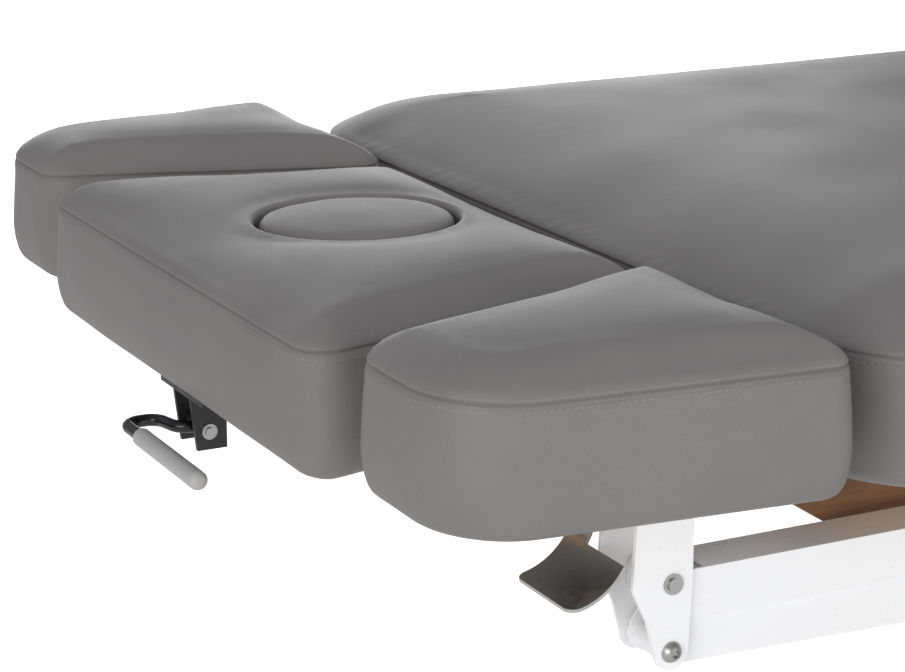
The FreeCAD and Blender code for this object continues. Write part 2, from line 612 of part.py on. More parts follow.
# Struts: a tube turning on one pin and a rod that slides in it to the open pivot
def strut(name, place, start, end, tube, tube_length, rod_size, rod_length, eye, wide, pin, open_bore):
    a = Vector(size(start[0]), size(place), size(start[1]))
    b = Vector(size(end[0]), size(place), size(end[1]))
    along = (b - a).normalize()
    across = Vector(0, 1, 0)
    half = size(wide) / 2
    clear = size("pin_clearance")
    run = size("overrun")

    def eye_at(place, hole):
        ring = Part.makeCylinder(size(eye) / 2, 2 * half, place - across * half, across)
        return ring, Part.makeCylinder(hole, 2 * half + 2 * run, place - across * (half + run), across)

    ring, hole = eye_at(a, size(pin) / 2 + clear)
    tube_start = size(eye) / 2 + size("strut_shoulder")
    barrel = Part.makeCylinder(size(tube) / 2, size(tube_length), a + along * tube_start, along)
    neck = Part.makeCylinder(half, tube_start + size("strut_shoulder"), a, along)
    hollow_start = tube_start + 2 * size("strut_shoulder")
    hollow = Part.makeCylinder(
        size(rod_size) / 2 + clear, size(tube_length), a + along * hollow_start, along
    )
    node(f"{name}_tube", shaped(f"{name}_tube", barrel.cut(hollow).fuse([neck, ring]).cut(hole)))
    ring, hole = eye_at(b, size(open_bore) / 2)
    stem = Part.makeCylinder(size(rod_size) / 2, size(rod_length), b, along * -1)
    node(f"{name}_rod", shaped(f"{name}_rod", stem.fuse(ring).cut(hole)))


strut(
    "face_strut", "strut_place", (STRUT_BACK, STRUT_BACK_Z), (STRUT_FACE, STRUT_FACE_Z), "strut_tube",
    "strut_tube_length", "strut_rod", "strut_rod_length", "strut_eye", "strut_eye_wide", "strut_pin",
    "strut_open_bore",
)
RAM_SEAT = f"({LEG_PIVOT} - ram_seat_run)"
RAM_SEAT_Z = f"({LEG_PIVOT_Z} - ram_seat_drop)"
RAM_LEG = f"({LEG_PIVOT} + ram_leg_run)"
RAM_LEG_Z = f"({LEG_PIVOT_Z} - ram_leg_drop)"
strut(
    "leg_actuator", "0", (RAM_SEAT, RAM_SEAT_Z), (RAM_LEG, RAM_LEG_Z), "ram_tube", "ram_tube_length",
    "ram_rod", "ram_rod_length", "ram_eye", "ram_eye_wide", "ram_pin", "ram_open_bore",
)


# Armrest carriers: two nested links between a root bracket and the end bracket
def across_arm(offset):
    return f"-link_place + ({offset})"


def link_side(name, y, z_pin, rise, tip_drop, root_drop, barrel):
    points = [
        (TIP, f"{z_pin} - {tip_drop}"),
        (ROOT, f"{z_pin} - {root_drop}"),
        (f"{ROOT} + {barrel} / 2", f"{z_pin} - {root_drop} / 2"),
        (f"{ROOT} + {barrel} / 2", f"{z_pin} + {rise} / 2"),
        (ROOT, f"{z_pin} + {rise}"),
        (TIP, f"{z_pin} + {rise}"),
        (f"{TIP} - {barrel} / 2", f"{z_pin} + {rise} / 2"),
        (f"{TIP} - {barrel} / 2", f"{z_pin} - {tip_drop} / 2"),
    ]
    return profile(name, "XZ_Plane", *y, points)


def barrels(name, z_pin, outer, half_wide):
    pieces, holes = [], []
    for tag, place in (("tip", TIP), ("root", ROOT)):
        low, high = across_arm(f"-({half_wide})"), across_arm(half_wide)
        pieces.append(rod(f"{name}_{tag}_barrel", "y", (place, z_pin), low, high, outer))
        holes.append(
            rod(
                f"{name}_{tag}_bore", "y", (place, z_pin), f"{low} - overrun", f"{high} + overrun",
                "arm_pin + 2 * pin_clearance",
            )
        )
    return pieces, holes


def link(name, z_pin, wide, rise, tip_drop, root_drop, barrel, barrel_half, web_z):
    half = f"{wide} / 2"
    near = link_side(
        f"{name}_near_leg", (across_arm(f"-{half}"), across_arm(f"-{half} + link_wall")),
        z_pin, rise, tip_drop, root_drop, barrel,
    )
    far = link_side(
        f"{name}_far_leg", (across_arm(f"{half} - link_wall"), across_arm(half)),
        z_pin, rise, tip_drop, root_drop, barrel,
    )
    web = profile(
        f"{name}_web", "XZ_Plane", across_arm(f"-{half} + link_wall"), across_arm(f"{half} - link_wall"),
        web_z
    )
    pieces, holes = barrels(name, z_pin, barrel, barrel_half)
    return node(name, cut(name, fuse(f"{name}_solid", near, far, web, *pieces), *holes))


web_start, web_end = f"({TIP} + web_notch)", f"({ROOT} - web_notch)"
upper = link(
    "near_upper_link", PIN_HIGH, "upper_link_wide", "upper_web_rise", "upper_leg_drop", "upper_leg_drop",
    "upper_barrel", "upper_link_wide / 2",
    [
        (web_start, f"{PIN_HIGH} + upper_web_rise - link_wall"),
        (web_end, f"{PIN_HIGH} + upper_web_rise - link_wall"),
        (web_end, f"{PIN_HIGH} + upper_web_rise"),
        (web_start, f"{PIN_HIGH} + upper_web_rise"),
    ],
)


def lower_edge(place):
    slope = f"(lower_root_drop - lower_web_drop) / link_span"
    return f"({PIN_LOW} - lower_web_drop - (({place}) - {TIP}) * {slope})"


lower = link(
    "near_lower_link", PIN_LOW, "lower_link_wide", "lower_leg_rise", "lower_web_drop", "lower_root_drop",
    "lower_barrel", "plate_gap / 2 - side_clearance",
    [
        (web_start, lower_edge(web_start)),
        (web_end, lower_edge(web_end)),
        (web_end, f"{lower_edge(web_end)} + link_wall"),
        (web_start, f"{lower_edge(web_start)} + link_wall"),
    ],
)

# End bracket: two plates that narrow downwards, and a flange below the armrest board
FLANGE_TOP = "(pad_base + arm_rise)"
FLANGE_LOW = f"({FLANGE_TOP} - plate_thick)"
plate_points = [
    (f"{TIP} - plate_head_side", FLANGE_LOW),
    (f"{TIP} - (plate_head_side + plate_end_radius * plate_knee_share)", PIN_HIGH),
    (f"{TIP} - plate_end_radius * plate_waist_share", f"({PIN_HIGH} + {PIN_LOW}) / 2"),
    (f"{TIP} - plate_end_radius", PIN_LOW),
    (f"{TIP} + plate_end_radius", PIN_LOW),
    (f"{TIP} + plate_foot_side", PIN_HIGH),
    (f"{TIP} + plate_foot_side", FLANGE_LOW),
]
bracket_parts = []
for tag, low, high in (
    ("near", "-plate_gap / 2 - plate_thick", "-plate_gap / 2"),
    ("far", "plate_gap / 2", "plate_gap / 2 + plate_thick"),
):
    span = (across_arm(low), across_arm(high))
    side = ear(f"end_plate_{tag}", span, TIP, PIN_LOW, "plate_end_radius * 2", "arm_pin", plate_points)
    hole = rod(
        f"end_hole_{tag}", "y", (TIP, PIN_HIGH), f"{span[0]} - overrun", f"{span[1]} + overrun", "arm_pin"
    )
    bracket_parts.append(cut(f"end_side_{tag}", side, hole))
PADDLE_X = f"({TIP} - plate_head_side - paddle_pivot_ahead)"
PADDLE_Z = f"({FLANGE_LOW} - paddle_pivot_drop)"
flange = box(
    "end_flange", (f"{TIP} - flange_long / 2", f"{TIP} + flange_long / 2"),
    (across_arm("-flange_wide / 2"), across_arm("flange_wide / 2")), (FLANGE_LOW, FLANGE_TOP),
)
flange_round = rounded("end_flange_rounded", flange, Vector(0, 0, 1), "plate_end_radius")
NECK_MID = "(paddle_wide - paddle_outset - plate_gap / 2 - plate_thick - paddle_neck / 2)"
for tag, low in (
    ("near", f"{NECK_MID} - paddle_neck / 2 - paddle_ear_gap - paddle_ear_thick"),
    ("far", f"{NECK_MID} + paddle_neck / 2 + paddle_ear_gap")
):
    span = (across_arm(low), across_arm(f"{low} + paddle_ear_thick"))
    points = [
        (f"{PADDLE_X} - paddle_hub / 2", PADDLE_Z),
        (f"{PADDLE_X} + paddle_hub / 2", PADDLE_Z),
        (f"{PADDLE_X} + paddle_hub / 2", FLANGE_LOW),
        (f"{PADDLE_X} - paddle_hub / 2", FLANGE_LOW),
    ]
    bracket_parts.append(
        ear(f"paddle_ear_{tag}", span, PADDLE_X, PADDLE_Z, "paddle_hub", "paddle_pin", points)
    )
node("near_end_bracket", fuse("near_end_bracket", flange_round, *bracket_parts))

# Pins, circlips and bolts of the end bracket
outer_y = "(plate_gap / 2 + plate_thick)"
upper_pin = fuse(
    "tip_pin_clipped",
    rod(
        "tip_pin", "y", (TIP, PIN_HIGH), across_arm(f"-{outer_y} - pin_stand_out"),
        across_arm(f"{outer_y} + pin_stand_out"), "arm_pin"
    ),
    rod(
        "tip_clip_near", "y", (TIP, PIN_HIGH), across_arm(f"-{outer_y} - circlip_thick"),
        across_arm(f"-{outer_y}"), "circlip"
    ),
    rod(
        "tip_clip_far", "y", (TIP, PIN_HIGH), across_arm(outer_y), across_arm(f"{outer_y} + circlip_thick"),
        "circlip"
    ),
)


# Button-head bolt with its nut
def bolt(name, x, z, low, high, shank, head, head_tall):
    stem = rod(f"{name}_stem", "y", (x, z), low, high, shank)
    doc.recompute()
    start = Vector(size(x), size(low), size(z))
    dome_radius = (size(head) ** 2 / 4 + size(head_tall) ** 2) / (2 * size(head_tall))
    ball = Part.makeSphere(dome_radius, start + Vector(0, dome_radius - size(head_tall), 0))
    slab = Part.makeCylinder(size(head), 2 * size(head_tall), start, Vector(0, -1, 0))
    socket = Part.makeCylinder(
        size(shank) / 3, size(head_tall), start - Vector(0, size(head_tall) / 2, 0), Vector(0, -1, 0)
    )
    dome = shaped(f"{name}_head", ball.common(slab).cut(socket))
    nut = rod(f"{name}_nut", "y", (x, z), high, f"{high} + {shank} * nut_tall_share", f"{head}")
    return fuse(name, stem, dome, nut)


lower_bolt = bolt(
    "tip_bolt", TIP, PIN_LOW, across_arm(f"-{outer_y}"), across_arm(outer_y),
    "arm_pin", "bolt_head", "bolt_head_tall",
)
paddle_pin_span = (
    across_arm(f"{NECK_MID} - paddle_neck / 2 - paddle_ear_gap - paddle_ear_thick"),
    across_arm(f"{NECK_MID} + paddle_neck / 2 + paddle_ear_gap + paddle_ear_thick"),
)
paddle_pin = rod("paddle_pin_body", "y", (PADDLE_X, PADDLE_Z), *paddle_pin_span, "paddle_pin")
node("near_end_fasteners", group("near_end_fasteners", upper_pin, lower_bolt, paddle_pin))


# Release paddle: curved sheet with a neck that turns on the paddle pin
def paddle_shape():
    doc.recompute()
    x, z = size(PADDLE_X), size(PADDLE_Z)
    reach_x, fall, bulge = size("paddle_reach"), size("paddle_fall"), size("paddle_bulge")
    thick = size("paddle_sheet")
    start, tip = Vector(x, 0, z), Vector(x - reach_x, 0, z - fall)
    chord = tip - start
    away = Vector(-chord.z, 0, chord.x).normalize()
    if away.z > 0:
        away = away * -1
    middle = start + chord / 2 + away * bulge
    curve = Part.Arc(start, middle, tip)
    outer_edge = curve.toShape()
    centre, radius = outer_edge.Curve.Center, outer_edge.Curve.Radius
    inner = [centre + (p - centre) * ((radius - thick) / radius) for p in (start, middle, tip)]
    edges = [
        outer_edge,
        Part.LineSegment(tip, inner[2]).toShape(),
        Part.Arc(inner[2], inner[1], inner[0]).toShape(),
        Part.LineSegment(inner[0], start).toShape(),
    ]
    low = size(across_arm(f"{NECK_MID} + paddle_neck / 2 - paddle_wide"))
    wide = size("paddle_wide")
    face = Part.Face(Part.Wire(edges))
    face.translate(Vector(0, low, 0))
    sheet_solid = face.extrude(Vector(0, wide, 0))
    neck, neck_long, corner = size("paddle_neck"), size("paddle_neck_long"), size("paddle_corner")
    far = low + wide
    hub = size("paddle_hub")
    plan = [
        (x + hub, far - neck), (x + hub, far), (x - reach_x - hub, far),
        (x - reach_x - hub, low), (x - neck_long, low), (x - neck_long, far - neck),
    ]
    corners = [Vector(a, b, z - fall - hub) for a, b in plan]
    plan_face = Part.Face(Part.makePolygon(corners + corners[:1]))
    prism = plan_face.extrude(Vector(0, 0, fall + 2 * hub))
    blade = sheet_solid.common(prism)
    tips = []
    for edge in blade.Edges:
        spot = edge.CenterOfMass
        corner_y = min(abs(spot.y - low), abs(spot.y - far)) < 0.01
        short = edge.Length < thick * 1.5
        if short and corner_y and spot.x < x - reach_x + thick:
            tips.append(edge)
    blade = blade.makeFillet(corner, tips)
    half = neck / 2
    middle_y = far - half
    barrel = Part.makeCylinder(hub / 2, neck, Vector(x, middle_y - half, z), Vector(0, 1, 0))
    hole = Part.makeCylinder(
        size("paddle_pin / 2 + pin_clearance"), 2 * neck, Vector(x, middle_y - neck, z), Vector(0, 1, 0)
    )
    return blade.fuse(barrel).cut(hole).removeSplitter()


node("near_paddle", shaped("near_paddle", paddle_shape()))

# Root brackets below the back board, one for each armrest, with their pins
root_plate = box(
    "root_plate", (f"{ROOT} - root_plate_long / 2", f"{ROOT} + root_plate_long / 2"),
    (across_arm(f"-{outer_y}"), f"-{RAIL_OUT}"), ("pad_base - plate_thick", "pad_base"),
)
rail_flange = box(
    "root_rail_flange", (f"{ROOT} - root_plate_long / 2", f"{ROOT} + root_plate_long / 2"),
    (f"-{RAIL_OUT} - plate_thick", f"-{RAIL_OUT}"), (RAIL_BASE, "pad_base"),
)
cheek_points = [
    (f"{ROOT} - plate_end_radius", PIN_LOW),
    (f"{ROOT} + plate_end_radius", PIN_LOW),
    (f"{ROOT} + root_plate_long / 2", "pad_base - plate_thick"),
    (f"{ROOT} - root_plate_long / 2", "pad_base - plate_thick"),
]
cheeks = []
for tag, low, high in (
    ("near", "-plate_gap / 2 - plate_thick", "-plate_gap / 2"),
    ("far", "plate_gap / 2", "plate_gap / 2 + plate_thick"),
):
    span = (across_arm(low), across_arm(high))
    side = ear(f"root_cheek_{tag}", span, ROOT, PIN_LOW, "plate_end_radius * 2", "arm_pin", cheek_points)
    hole = rod(
        f"root_hole_{tag}", "y", (ROOT, PIN_HIGH), f"{span[0]} - overrun", f"{span[1]} + overrun", "arm_pin"
    )
    cheeks.append(cut(f"root_side_{tag}", side, hole))
root_bracket = fuse("root_bracket", root_plate, rail_flange, *cheeks)
root_pins = [
    rod(
        f"root_pin_{tag}", "y", (ROOT, z), across_arm(f"-{outer_y} - pin_stand_out"),
        across_arm(f"{outer_y} + pin_stand_out"), "arm_pin"
    )
    for tag, z in (("high", PIN_HIGH), ("low", PIN_LOW))
]
root_set = [root_bracket, *root_pins]
node(
    "armrest_root_brackets",
    group("armrest_root_brackets", *root_set, *[mirrored(item) for item in root_set])
)
for item in ("upper_link", "lower_link", "end_bracket", "end_fasteners", "paddle"):
    node(f"far_{item}", mirrored(nodes[f"near_{item}"], f"far_{item}"))


# Backrest track: an arc slot about the seam line between backrest and seat
def on_track(angle, radius):
    turn = math.radians(angle)
    x, z = size(BACK_PIVOT), size(SEAM)
    return Vector(x - radius * math.sin(turn), 0, z - radius * math.cos(turn))


def sector(inside, outside, low, high):
    middle = (low + high) / 2
    corners = [
        on_track(low, inside), on_track(low, outside), on_track(high, outside), on_track(high, inside)
    ]
    edges = [
        Part.LineSegment(corners[0], corners[1]).toShape(),
        Part.Arc(corners[1], on_track(middle, outside), corners[2]).toShape(),
        Part.LineSegment(corners[2], corners[3]).toShape(),
        Part.Arc(corners[3], on_track(middle, inside), corners[0]).toShape(),
    ]
    return Part.Face(Part.Wire(edges))


def track_plate():
    radius, edge = size("track_radius"), size("track_edge")
    slot = size("track_slot") / 2
    low, high, spare = size("track_low_angle"), size("track_high_angle"), size("track_angle_spare")
    run, thick = size("overrun"), size("track_thick")
    inward = Vector(0, thick, 0)
    flat = sector(radius - slot - edge, radius + slot + edge, low - spare, high + spare)
    band = flat.extrude(inward)
    groove = sector(radius - slot, radius + slot, low, high).extrude(inward * 3)
    ends = [
        Part.makeCylinder(slot, 3 * thick, on_track(angle, radius), Vector(0, 1, 0)) for angle in (low, high)
    ]
    tab_end = on_track(high, radius)
    tab_long = size("track_tab_long")
    tab = Part.makeBox(tab_long, thick, size("pad_base") - tab_end.z, Vector(tab_end.x - slot, 0, tab_end.z))
    inside = Part.makeCylinder(radius, 3 * thick, on_track(0, 0) - inward, Vector(0, 1, 0))
    tab = tab.common(inside)
    plate = band.fuse(tab)
    above = Part.makeBox(2 * radius, 3 * thick, radius, Vector(tab_end.x - radius, -thick, size("pad_base")))
    plate = plate.cut(above)
    tools = [groove] + ends
    for tool in tools:
        tool.translate(inward * -1)
        plate = plate.cut(tool)
    plate = plate.removeSplitter()
    plate.translate(Vector(0, -size(RAIL_IN), 0))
    return plate


node("back_track_plates", both_sides("back_track_plates", shaped("near_track_plate", track_plate())))
BRACKET_OUT = f"({RAIL_IN} - track_thick - track_bracket_gap)"
BRACKET_IN = f"({BRACKET_OUT} - track_bracket_thick)"
rollers = []
for tag, angle in (("low", "roller_low_angle"), ("high", "roller_high_angle")):
    x = f"({BACK_PIVOT} - track_radius * sin({angle} * 1 deg))"
    z = f"({SEAM} - track_radius * cos({angle} * 1 deg))"
    rollers.append((x, z))
pins = [
    rod(f"roller_{k}", "y", place, f"-{RAIL_IN} + side_clearance * 2", f"-{BRACKET_IN}", "roller")
    for k, place in enumerate(rollers)
]
node("track_rollers", group("track_rollers", *pins, *[mirrored(pin) for pin in pins]))
low_roller, high_roller = rollers
frame_cross_end = "(-frame_cross_place + column_long / 2)"
bracket_points = [
    (f"{frame_cross_end} - overrun", FRAME_BASE),
    (f"{low_roller[0]} + roller", FRAME_BASE),
    (f"{low_roller[0]} + roller", f"{low_roller[1]} + roller"),
    (f"{high_roller[0]} + roller", f"{high_roller[1]} + roller"),
    (f"{high_roller[0]} - roller", f"{high_roller[1]} + roller"),
    (f"{high_roller[0]} - roller", FRAME_TOP),
    (f"{frame_cross_end} - overrun", FRAME_TOP),
]
holes = [(x, z, "roller") for x, z in rollers]
bracket = profile("track_bracket", "XZ_Plane", f"-{BRACKET_OUT}", f"-{BRACKET_IN}", bracket_points, holes)
cross_half = "column_long / 2"
trim = box(
    "track_bracket_trim", (f"-frame_cross_place - {cross_half}", f"-frame_cross_place + {cross_half}"),
    (f"-{BRACKET_OUT} - overrun", f"-{BRACKET_IN} + overrun"), (
        f"{FRAME_BASE} - overrun", f"{FRAME_TOP} + overrun"
    ),
)
track_bracket = cut("near_track_bracket", bracket, trim)

# Lift frame: two side tubes, two cross tubes, a middle beam on the columns and the leg hinge lugs
frame_z = (FRAME_BASE, FRAME_TOP)
side_tube = hollow_tube(
    "frame_side", ("-frame_head_reach - frame_tube_wide", "frame_foot_reach"),
    (
        "-frame_place - frame_tube_wide / 2", "-frame_place + frame_tube_wide / 2"
    ), frame_z, "frame_tube_wall", "x",
)
heads = []
for tag, middle in (("head", "-frame_cross_place"), ("foot", "frame_cross_place")):
    spans = (f"{middle} - {cross_half}", f"{middle} + {cross_half}")
    inner = "frame_place - frame_tube_wide / 2"
    heads.append(
        hollow_tube(f"frame_{tag}_cross", spans, (f"-({inner})", inner), frame_z, "frame_tube_wall", "y")
    )
beam_x = (frame_cross_end, f"-{frame_cross_end}")
beam_y = ("-frame_middle_wide / 2", "frame_middle_wide / 2")
heads.append(hollow_tube("frame_middle_beam", beam_x, beam_y, frame_z, "frame_tube_wall", "x"))
LUG_IN = "(frame_place + frame_tube_wide / 2)"
lug_points = [
    (f"{LEG_PIVOT} - leg_leaf_long / 2", FRAME_BASE),
    (f"{LEG_PIVOT}", FRAME_TOP),
    (f"{LEG_PIVOT} + leg_knuckle / 2", LEG_PIVOT_Z),
    (f"{LEG_PIVOT} - leg_knuckle / 2", LEG_PIVOT_Z),
    (f"{LEG_PIVOT} - leg_leaf_long / 2", FRAME_TOP),
]
leg_lug = ear(
    "leg_lug", (f"-{LUG_IN} - leg_lug_thick", f"-{LUG_IN}"), LEG_PIVOT, LEG_PIVOT_Z, "leg_knuckle",
    "leg_hinge_pin", lug_points,
)
RAM_Y = ("-ram_eye_wide / 2 - side_clearance - ram_lug_thick", "-ram_eye_wide / 2 - side_clearance")
frame_end = "(frame_cross_place + column_long / 2)"
ram_points = [
    (frame_end, FRAME_BASE),
    (RAM_SEAT, f"{RAM_SEAT_Z} - ram_eye / 2"),
    (RAM_SEAT, f"{RAM_SEAT_Z} + ram_eye / 2"),
    (frame_end, FRAME_TOP),
]
ram_lug = ear("ram_lug", RAM_Y, RAM_SEAT, RAM_SEAT_Z, "ram_eye", "ram_pin", ram_points)
ram_pin = rod("ram_seat_pin", "y", (RAM_SEAT, RAM_SEAT_Z), RAM_Y[0], f"-({RAM_Y[0]})", "ram_pin")
frame_parts = [side_tube, leg_lug, ram_lug, track_bracket]
frame_parts += [mirrored(item) for item in frame_parts]
node("lift_frame", fuse("lift_frame", *frame_parts, *heads, ram_pin))
leg_pins = rod(
    "leg_pin", "y", (LEG_PIVOT, LEG_PIVOT_Z), f"-{LUG_IN} - leg_lug_thick - pin_stand_out",
    f"-{RAIL_OUT} + rail_wide / 2", "leg_hinge_pin",
)
node("leg_hinge_pins", both_sides("leg_hinge_pins", leg_pins))
leaf_y = (f"-{RAIL_OUT} - leg_leaf_thick", f"-{RAIL_OUT}")
leaf_points = [
    (LEG_PIVOT, f"{LEG_PIVOT_Z} - leg_knuckle / 2"),
    (f"{LEG_PIVOT} + leg_leaf_long", f"{LEG_PIVOT_Z} - leg_knuckle / 2"),
    (f"{LEG_PIVOT} + leg_leaf_long", f"{LEG_PIVOT_Z} + leg_knuckle / 2"),
    (LEG_PIVOT, f"{LEG_PIVOT_Z} + leg_knuckle / 2"),
]
leaf = ear(
    "leg_leaf", leaf_y, LEG_PIVOT, LEG_PIVOT_Z, "leg_knuckle", "leg_hinge_pin + 2 * pin_clearance",
    leaf_points
)
node("leg_hinge_leaves", both_sides("leg_hinge_leaves", leaf))

# Cross tube of the leg section with the lugs of its actuator
LEG_TUBE = f"({LEG_START} + leg_rail_start + cross_tube_side)"
leg_tube = cross_tube("leg_tube", LEG_TUBE)
leg_lug_points = [
    (f"{RAM_LEG} - ram_eye / 2", RAM_LEG_Z),
    (f"{RAM_LEG} + ram_eye / 2", RAM_LEG_Z),
    (f"{LEG_TUBE} - cross_tube_side / 2", "pad_base - cross_tube_side"),
    (f"{LEG_TUBE} - cross_tube_side / 2", "pad_base"),
    (f"{RAM_LEG} - ram_eye / 2", "pad_base"),
]
leg_ram_lug = ear("leg_ram_lug", RAM_Y, RAM_LEG, RAM_LEG_Z, "ram_eye", "ram_pin", leg_lug_points)
leg_ram_pin = rod("leg_ram_pin", "y", (RAM_LEG, RAM_LEG_Z), RAM_Y[0], f"-({RAM_Y[0]})", "ram_pin")
node("leg_cross_tube", fuse("leg_cross_tube", leg_tube, leg_ram_lug, mirrored(leg_ram_lug), leg_ram_pin))


# Lifting columns of three telescoping tubes each
def columns(name, shrink, low, high):
    pieces = []
    for tag, middle in COLUMN_PLACES:
        half_x = f"column_long / 2 - ({shrink})"
        half_y = f"column_wide / 2 - ({shrink})"
        spans = (f"{middle} - ({half_x})", f"{middle} + ({half_x})"), (f"-({half_y})", half_y), (low, high)
        pieces.append(hollow_tube(f"{name}_{tag}", *spans, "column_wall", "z"))
    return node(name, group(name, *pieces))


CABINET_FLOOR = "(foot_tall + plinth_tall)"
COLUMN_BASE = f"({CABINET_FLOOR} + panel_thick)"
columns("column_outer_tubes", "0", COLUMN_BASE, "column_outer_top")
columns(
    "column_middle_tubes", "column_wall + stage_gap", f"{COLUMN_BASE} + column_step", "column_middle_top"
)
columns(
    "column_inner_tubes", "2 * (column_wall + stage_gap)", f"{COLUMN_BASE} + 2 * column_step", FRAME_BASE
)

# Cabinet
D2 = "cabinet_depth / 2"
PANEL_TOP = "(cabinet_top - panel_thick)"
node(
    "cabinet_floor_panel",
    box("cabinet_floor_panel", (CABINET_HEAD, CABINET_FOOT), (f"-{D2}", D2), (CABINET_FLOOR, COLUMN_BASE)),
)
plinth_x = (f"({CABINET_HEAD} + plinth_inset)", f"({CABINET_FOOT} - plinth_inset)")
plinth_y = f"({D2} - plinth_inset)"
plinth = box("plinth_outside", plinth_x, (f"-{plinth_y}", plinth_y), ("foot_tall", CABINET_FLOOR))
core = box(
    "plinth_inside", (f"{plinth_x[0]} + panel_thick", f"{plinth_x[1]} - panel_thick"),
    (f"-{plinth_y} + panel_thick", f"{plinth_y} - panel_thick"), (
        "foot_tall - overrun", f"{CABINET_FLOOR} + overrun"
    ),
)
node("cabinet_plinth", cut("cabinet_plinth", plinth, core))
feet = []
feet_x = (f"{CABINET_HEAD} + foot_inset", f"{CABINET_FOOT} - foot_inset")
for k, (x, side) in enumerate((x, side) for x in feet_x for side in ("-", "")):
    place = (x, f"{side}({D2} - plinth_inset - panel_thick / 2)")
    feet.append(rod(f"foot_{k}", "z", place, "0", "foot_tall", "foot_disc"))
node("levelling_feet", group("levelling_feet", *feet))
side_z = (COLUMN_BASE, PANEL_TOP)
ends_pair = [
    box("head_end_panel", (CABINET_HEAD, f"{CABINET_HEAD} + panel_thick"), (f"-{D2}", D2), side_z),
    box("foot_end_panel", (BAY_FOOT, CABINET_FOOT), (f"-{D2}", D2), side_z),
]
front_y = (f"-{D2}", f"-{D2} + panel_thick")
front = box("front_panel", (f"{CABINET_HEAD} + panel_thick", BAY_HEAD), front_y, side_z)
node("cabinet_side_panels", group("cabinet_side_panels", *ends_pair, front))
node(
    "cabinet_back_panel",
    box(
        "cabinet_back_panel", (f"{CABINET_HEAD} + panel_thick", BAY_FOOT), (f"{D2} - panel_thick", D2),
        side_z
    ),
)
inside_y = (f"-{D2} + panel_thick", f"{D2} - panel_thick")
node(
    "cabinet_partition", box("cabinet_partition", (f"{BAY_HEAD} - panel_thick", BAY_HEAD), inside_y, side_z)
)
top = box("cabinet_top_blank", (CABINET_HEAD, CABINET_FOOT), (f"-{D2}", D2), (PANEL_TOP, "cabinet_top"))
openings = []
for tag, middle in COLUMN_PLACES:
    half_x, half_y = "(column_long / 2 + column_hole_gap)", "(column_wide / 2 + column_hole_gap)"
    spans = (f"{middle} - {half_x}", f"{middle} + {half_x}"), (f"-{half_y}", half_y)
    openings.append(
        box(f"column_opening_{tag}", *spans, (f"{PANEL_TOP} - overrun", "cabinet_top + overrun"))
    )
node("cabinet_top_panel", cut("cabinet_top_panel", top, *openings))
node(
    "cabinet_shelf",
    box(
        "cabinet_shelf", (BAY_HEAD, BAY_FOOT), (
            f"-{D2} + panel_thick + shelf_setback", f"{D2} - panel_thick"
        ),
        ("shelf_height", "shelf_height + shelf_tall"),
    ),
)

# Doors with pivot pins at their outer edges and bar handles
DOOR_Y = f"(-{D2} + panel_thick / 2)"
BAY_MIDDLE = f"({BAY_FOOT} - bay_width / 2)"
door_z = (f"{COLUMN_BASE} + door_gap", f"{PANEL_TOP} - door_gap")
hinge_pins = []
for tag, sign in (("head", "-"), ("foot", "+")):
    outer = f"({BAY_MIDDLE} {sign} (bay_width / 2 - door_gap))"
    inner = f"({BAY_MIDDLE} {sign} door_gap / 2)"
    pin_x = f"({BAY_MIDDLE} {sign} (bay_width / 2 - door_gap - hinge_pin_inset))"
    x = (outer, inner) if tag == "head" else (inner, outer)
    slab = box(f"{tag}_door_slab", x, front_y, door_z)
    hinge_x = size(outer)
    slab = rounded(
        f"{tag}_door_round", slab, Vector(0, 0, 1), "door_edge_round", lambda spot: abs(spot.x - hinge_x) < 1
    )
    places = ((door_z[0], 1), (door_z[1], -1))
    sockets = []
    for k, (level, way) in enumerate(places):
        low, high = (f"{level} - overrun", f"{level} + hinge_pin_length") if way > 0 else (
            f"{level} - hinge_pin_length", f"{level} + overrun")
        sockets.append(
            rod(f"{tag}_socket_{k}", "z", (pin_x, DOOR_Y), low, high, "hinge_pin + 2 * pin_clearance")
        )
        low, high = (f"{level} - door_gap", f"{level} + hinge_pin_length - door_gap") if way > 0 else (
            f"{level} - hinge_pin_length + door_gap", f"{level} + door_gap")
        hinge_pins.append(rod(f"{tag}_hinge_pin_{k}", "z", (pin_x, DOOR_Y), low, high, "hinge_pin"))
    node(f"{tag}_door", cut(f"{tag}_door", slab, *sockets))
    handle_x = f"({BAY_MIDDLE} {sign} handle_inset)"
    bar_y = f"(-{D2} - handle_stand_off)"
    middle_z = f"(({door_z[0]}) + ({door_z[1]})) / 2"
    bar = rod(
        f"{tag}_handle_bar", "z", (handle_x, bar_y), f"{middle_z} - handle_length / 2",
        f"{middle_z} + handle_length / 2", "handle_bar",
    )
    posts = [
        rod(
            f"{tag}_handle_post_{k}", "y", (
                handle_x, f"{middle_z} {side} handle_length * handle_grip_share / 2"
            ),
            bar_y, f"-{D2}", "handle_post",
        )
        for k, side in enumerate("+-")
    ]
    node(f"{tag}_door_handle", fuse(f"{tag}_door_handle", bar, *posts))
node("door_hinge_pins", group("door_hinge_pins", *hinge_pins))

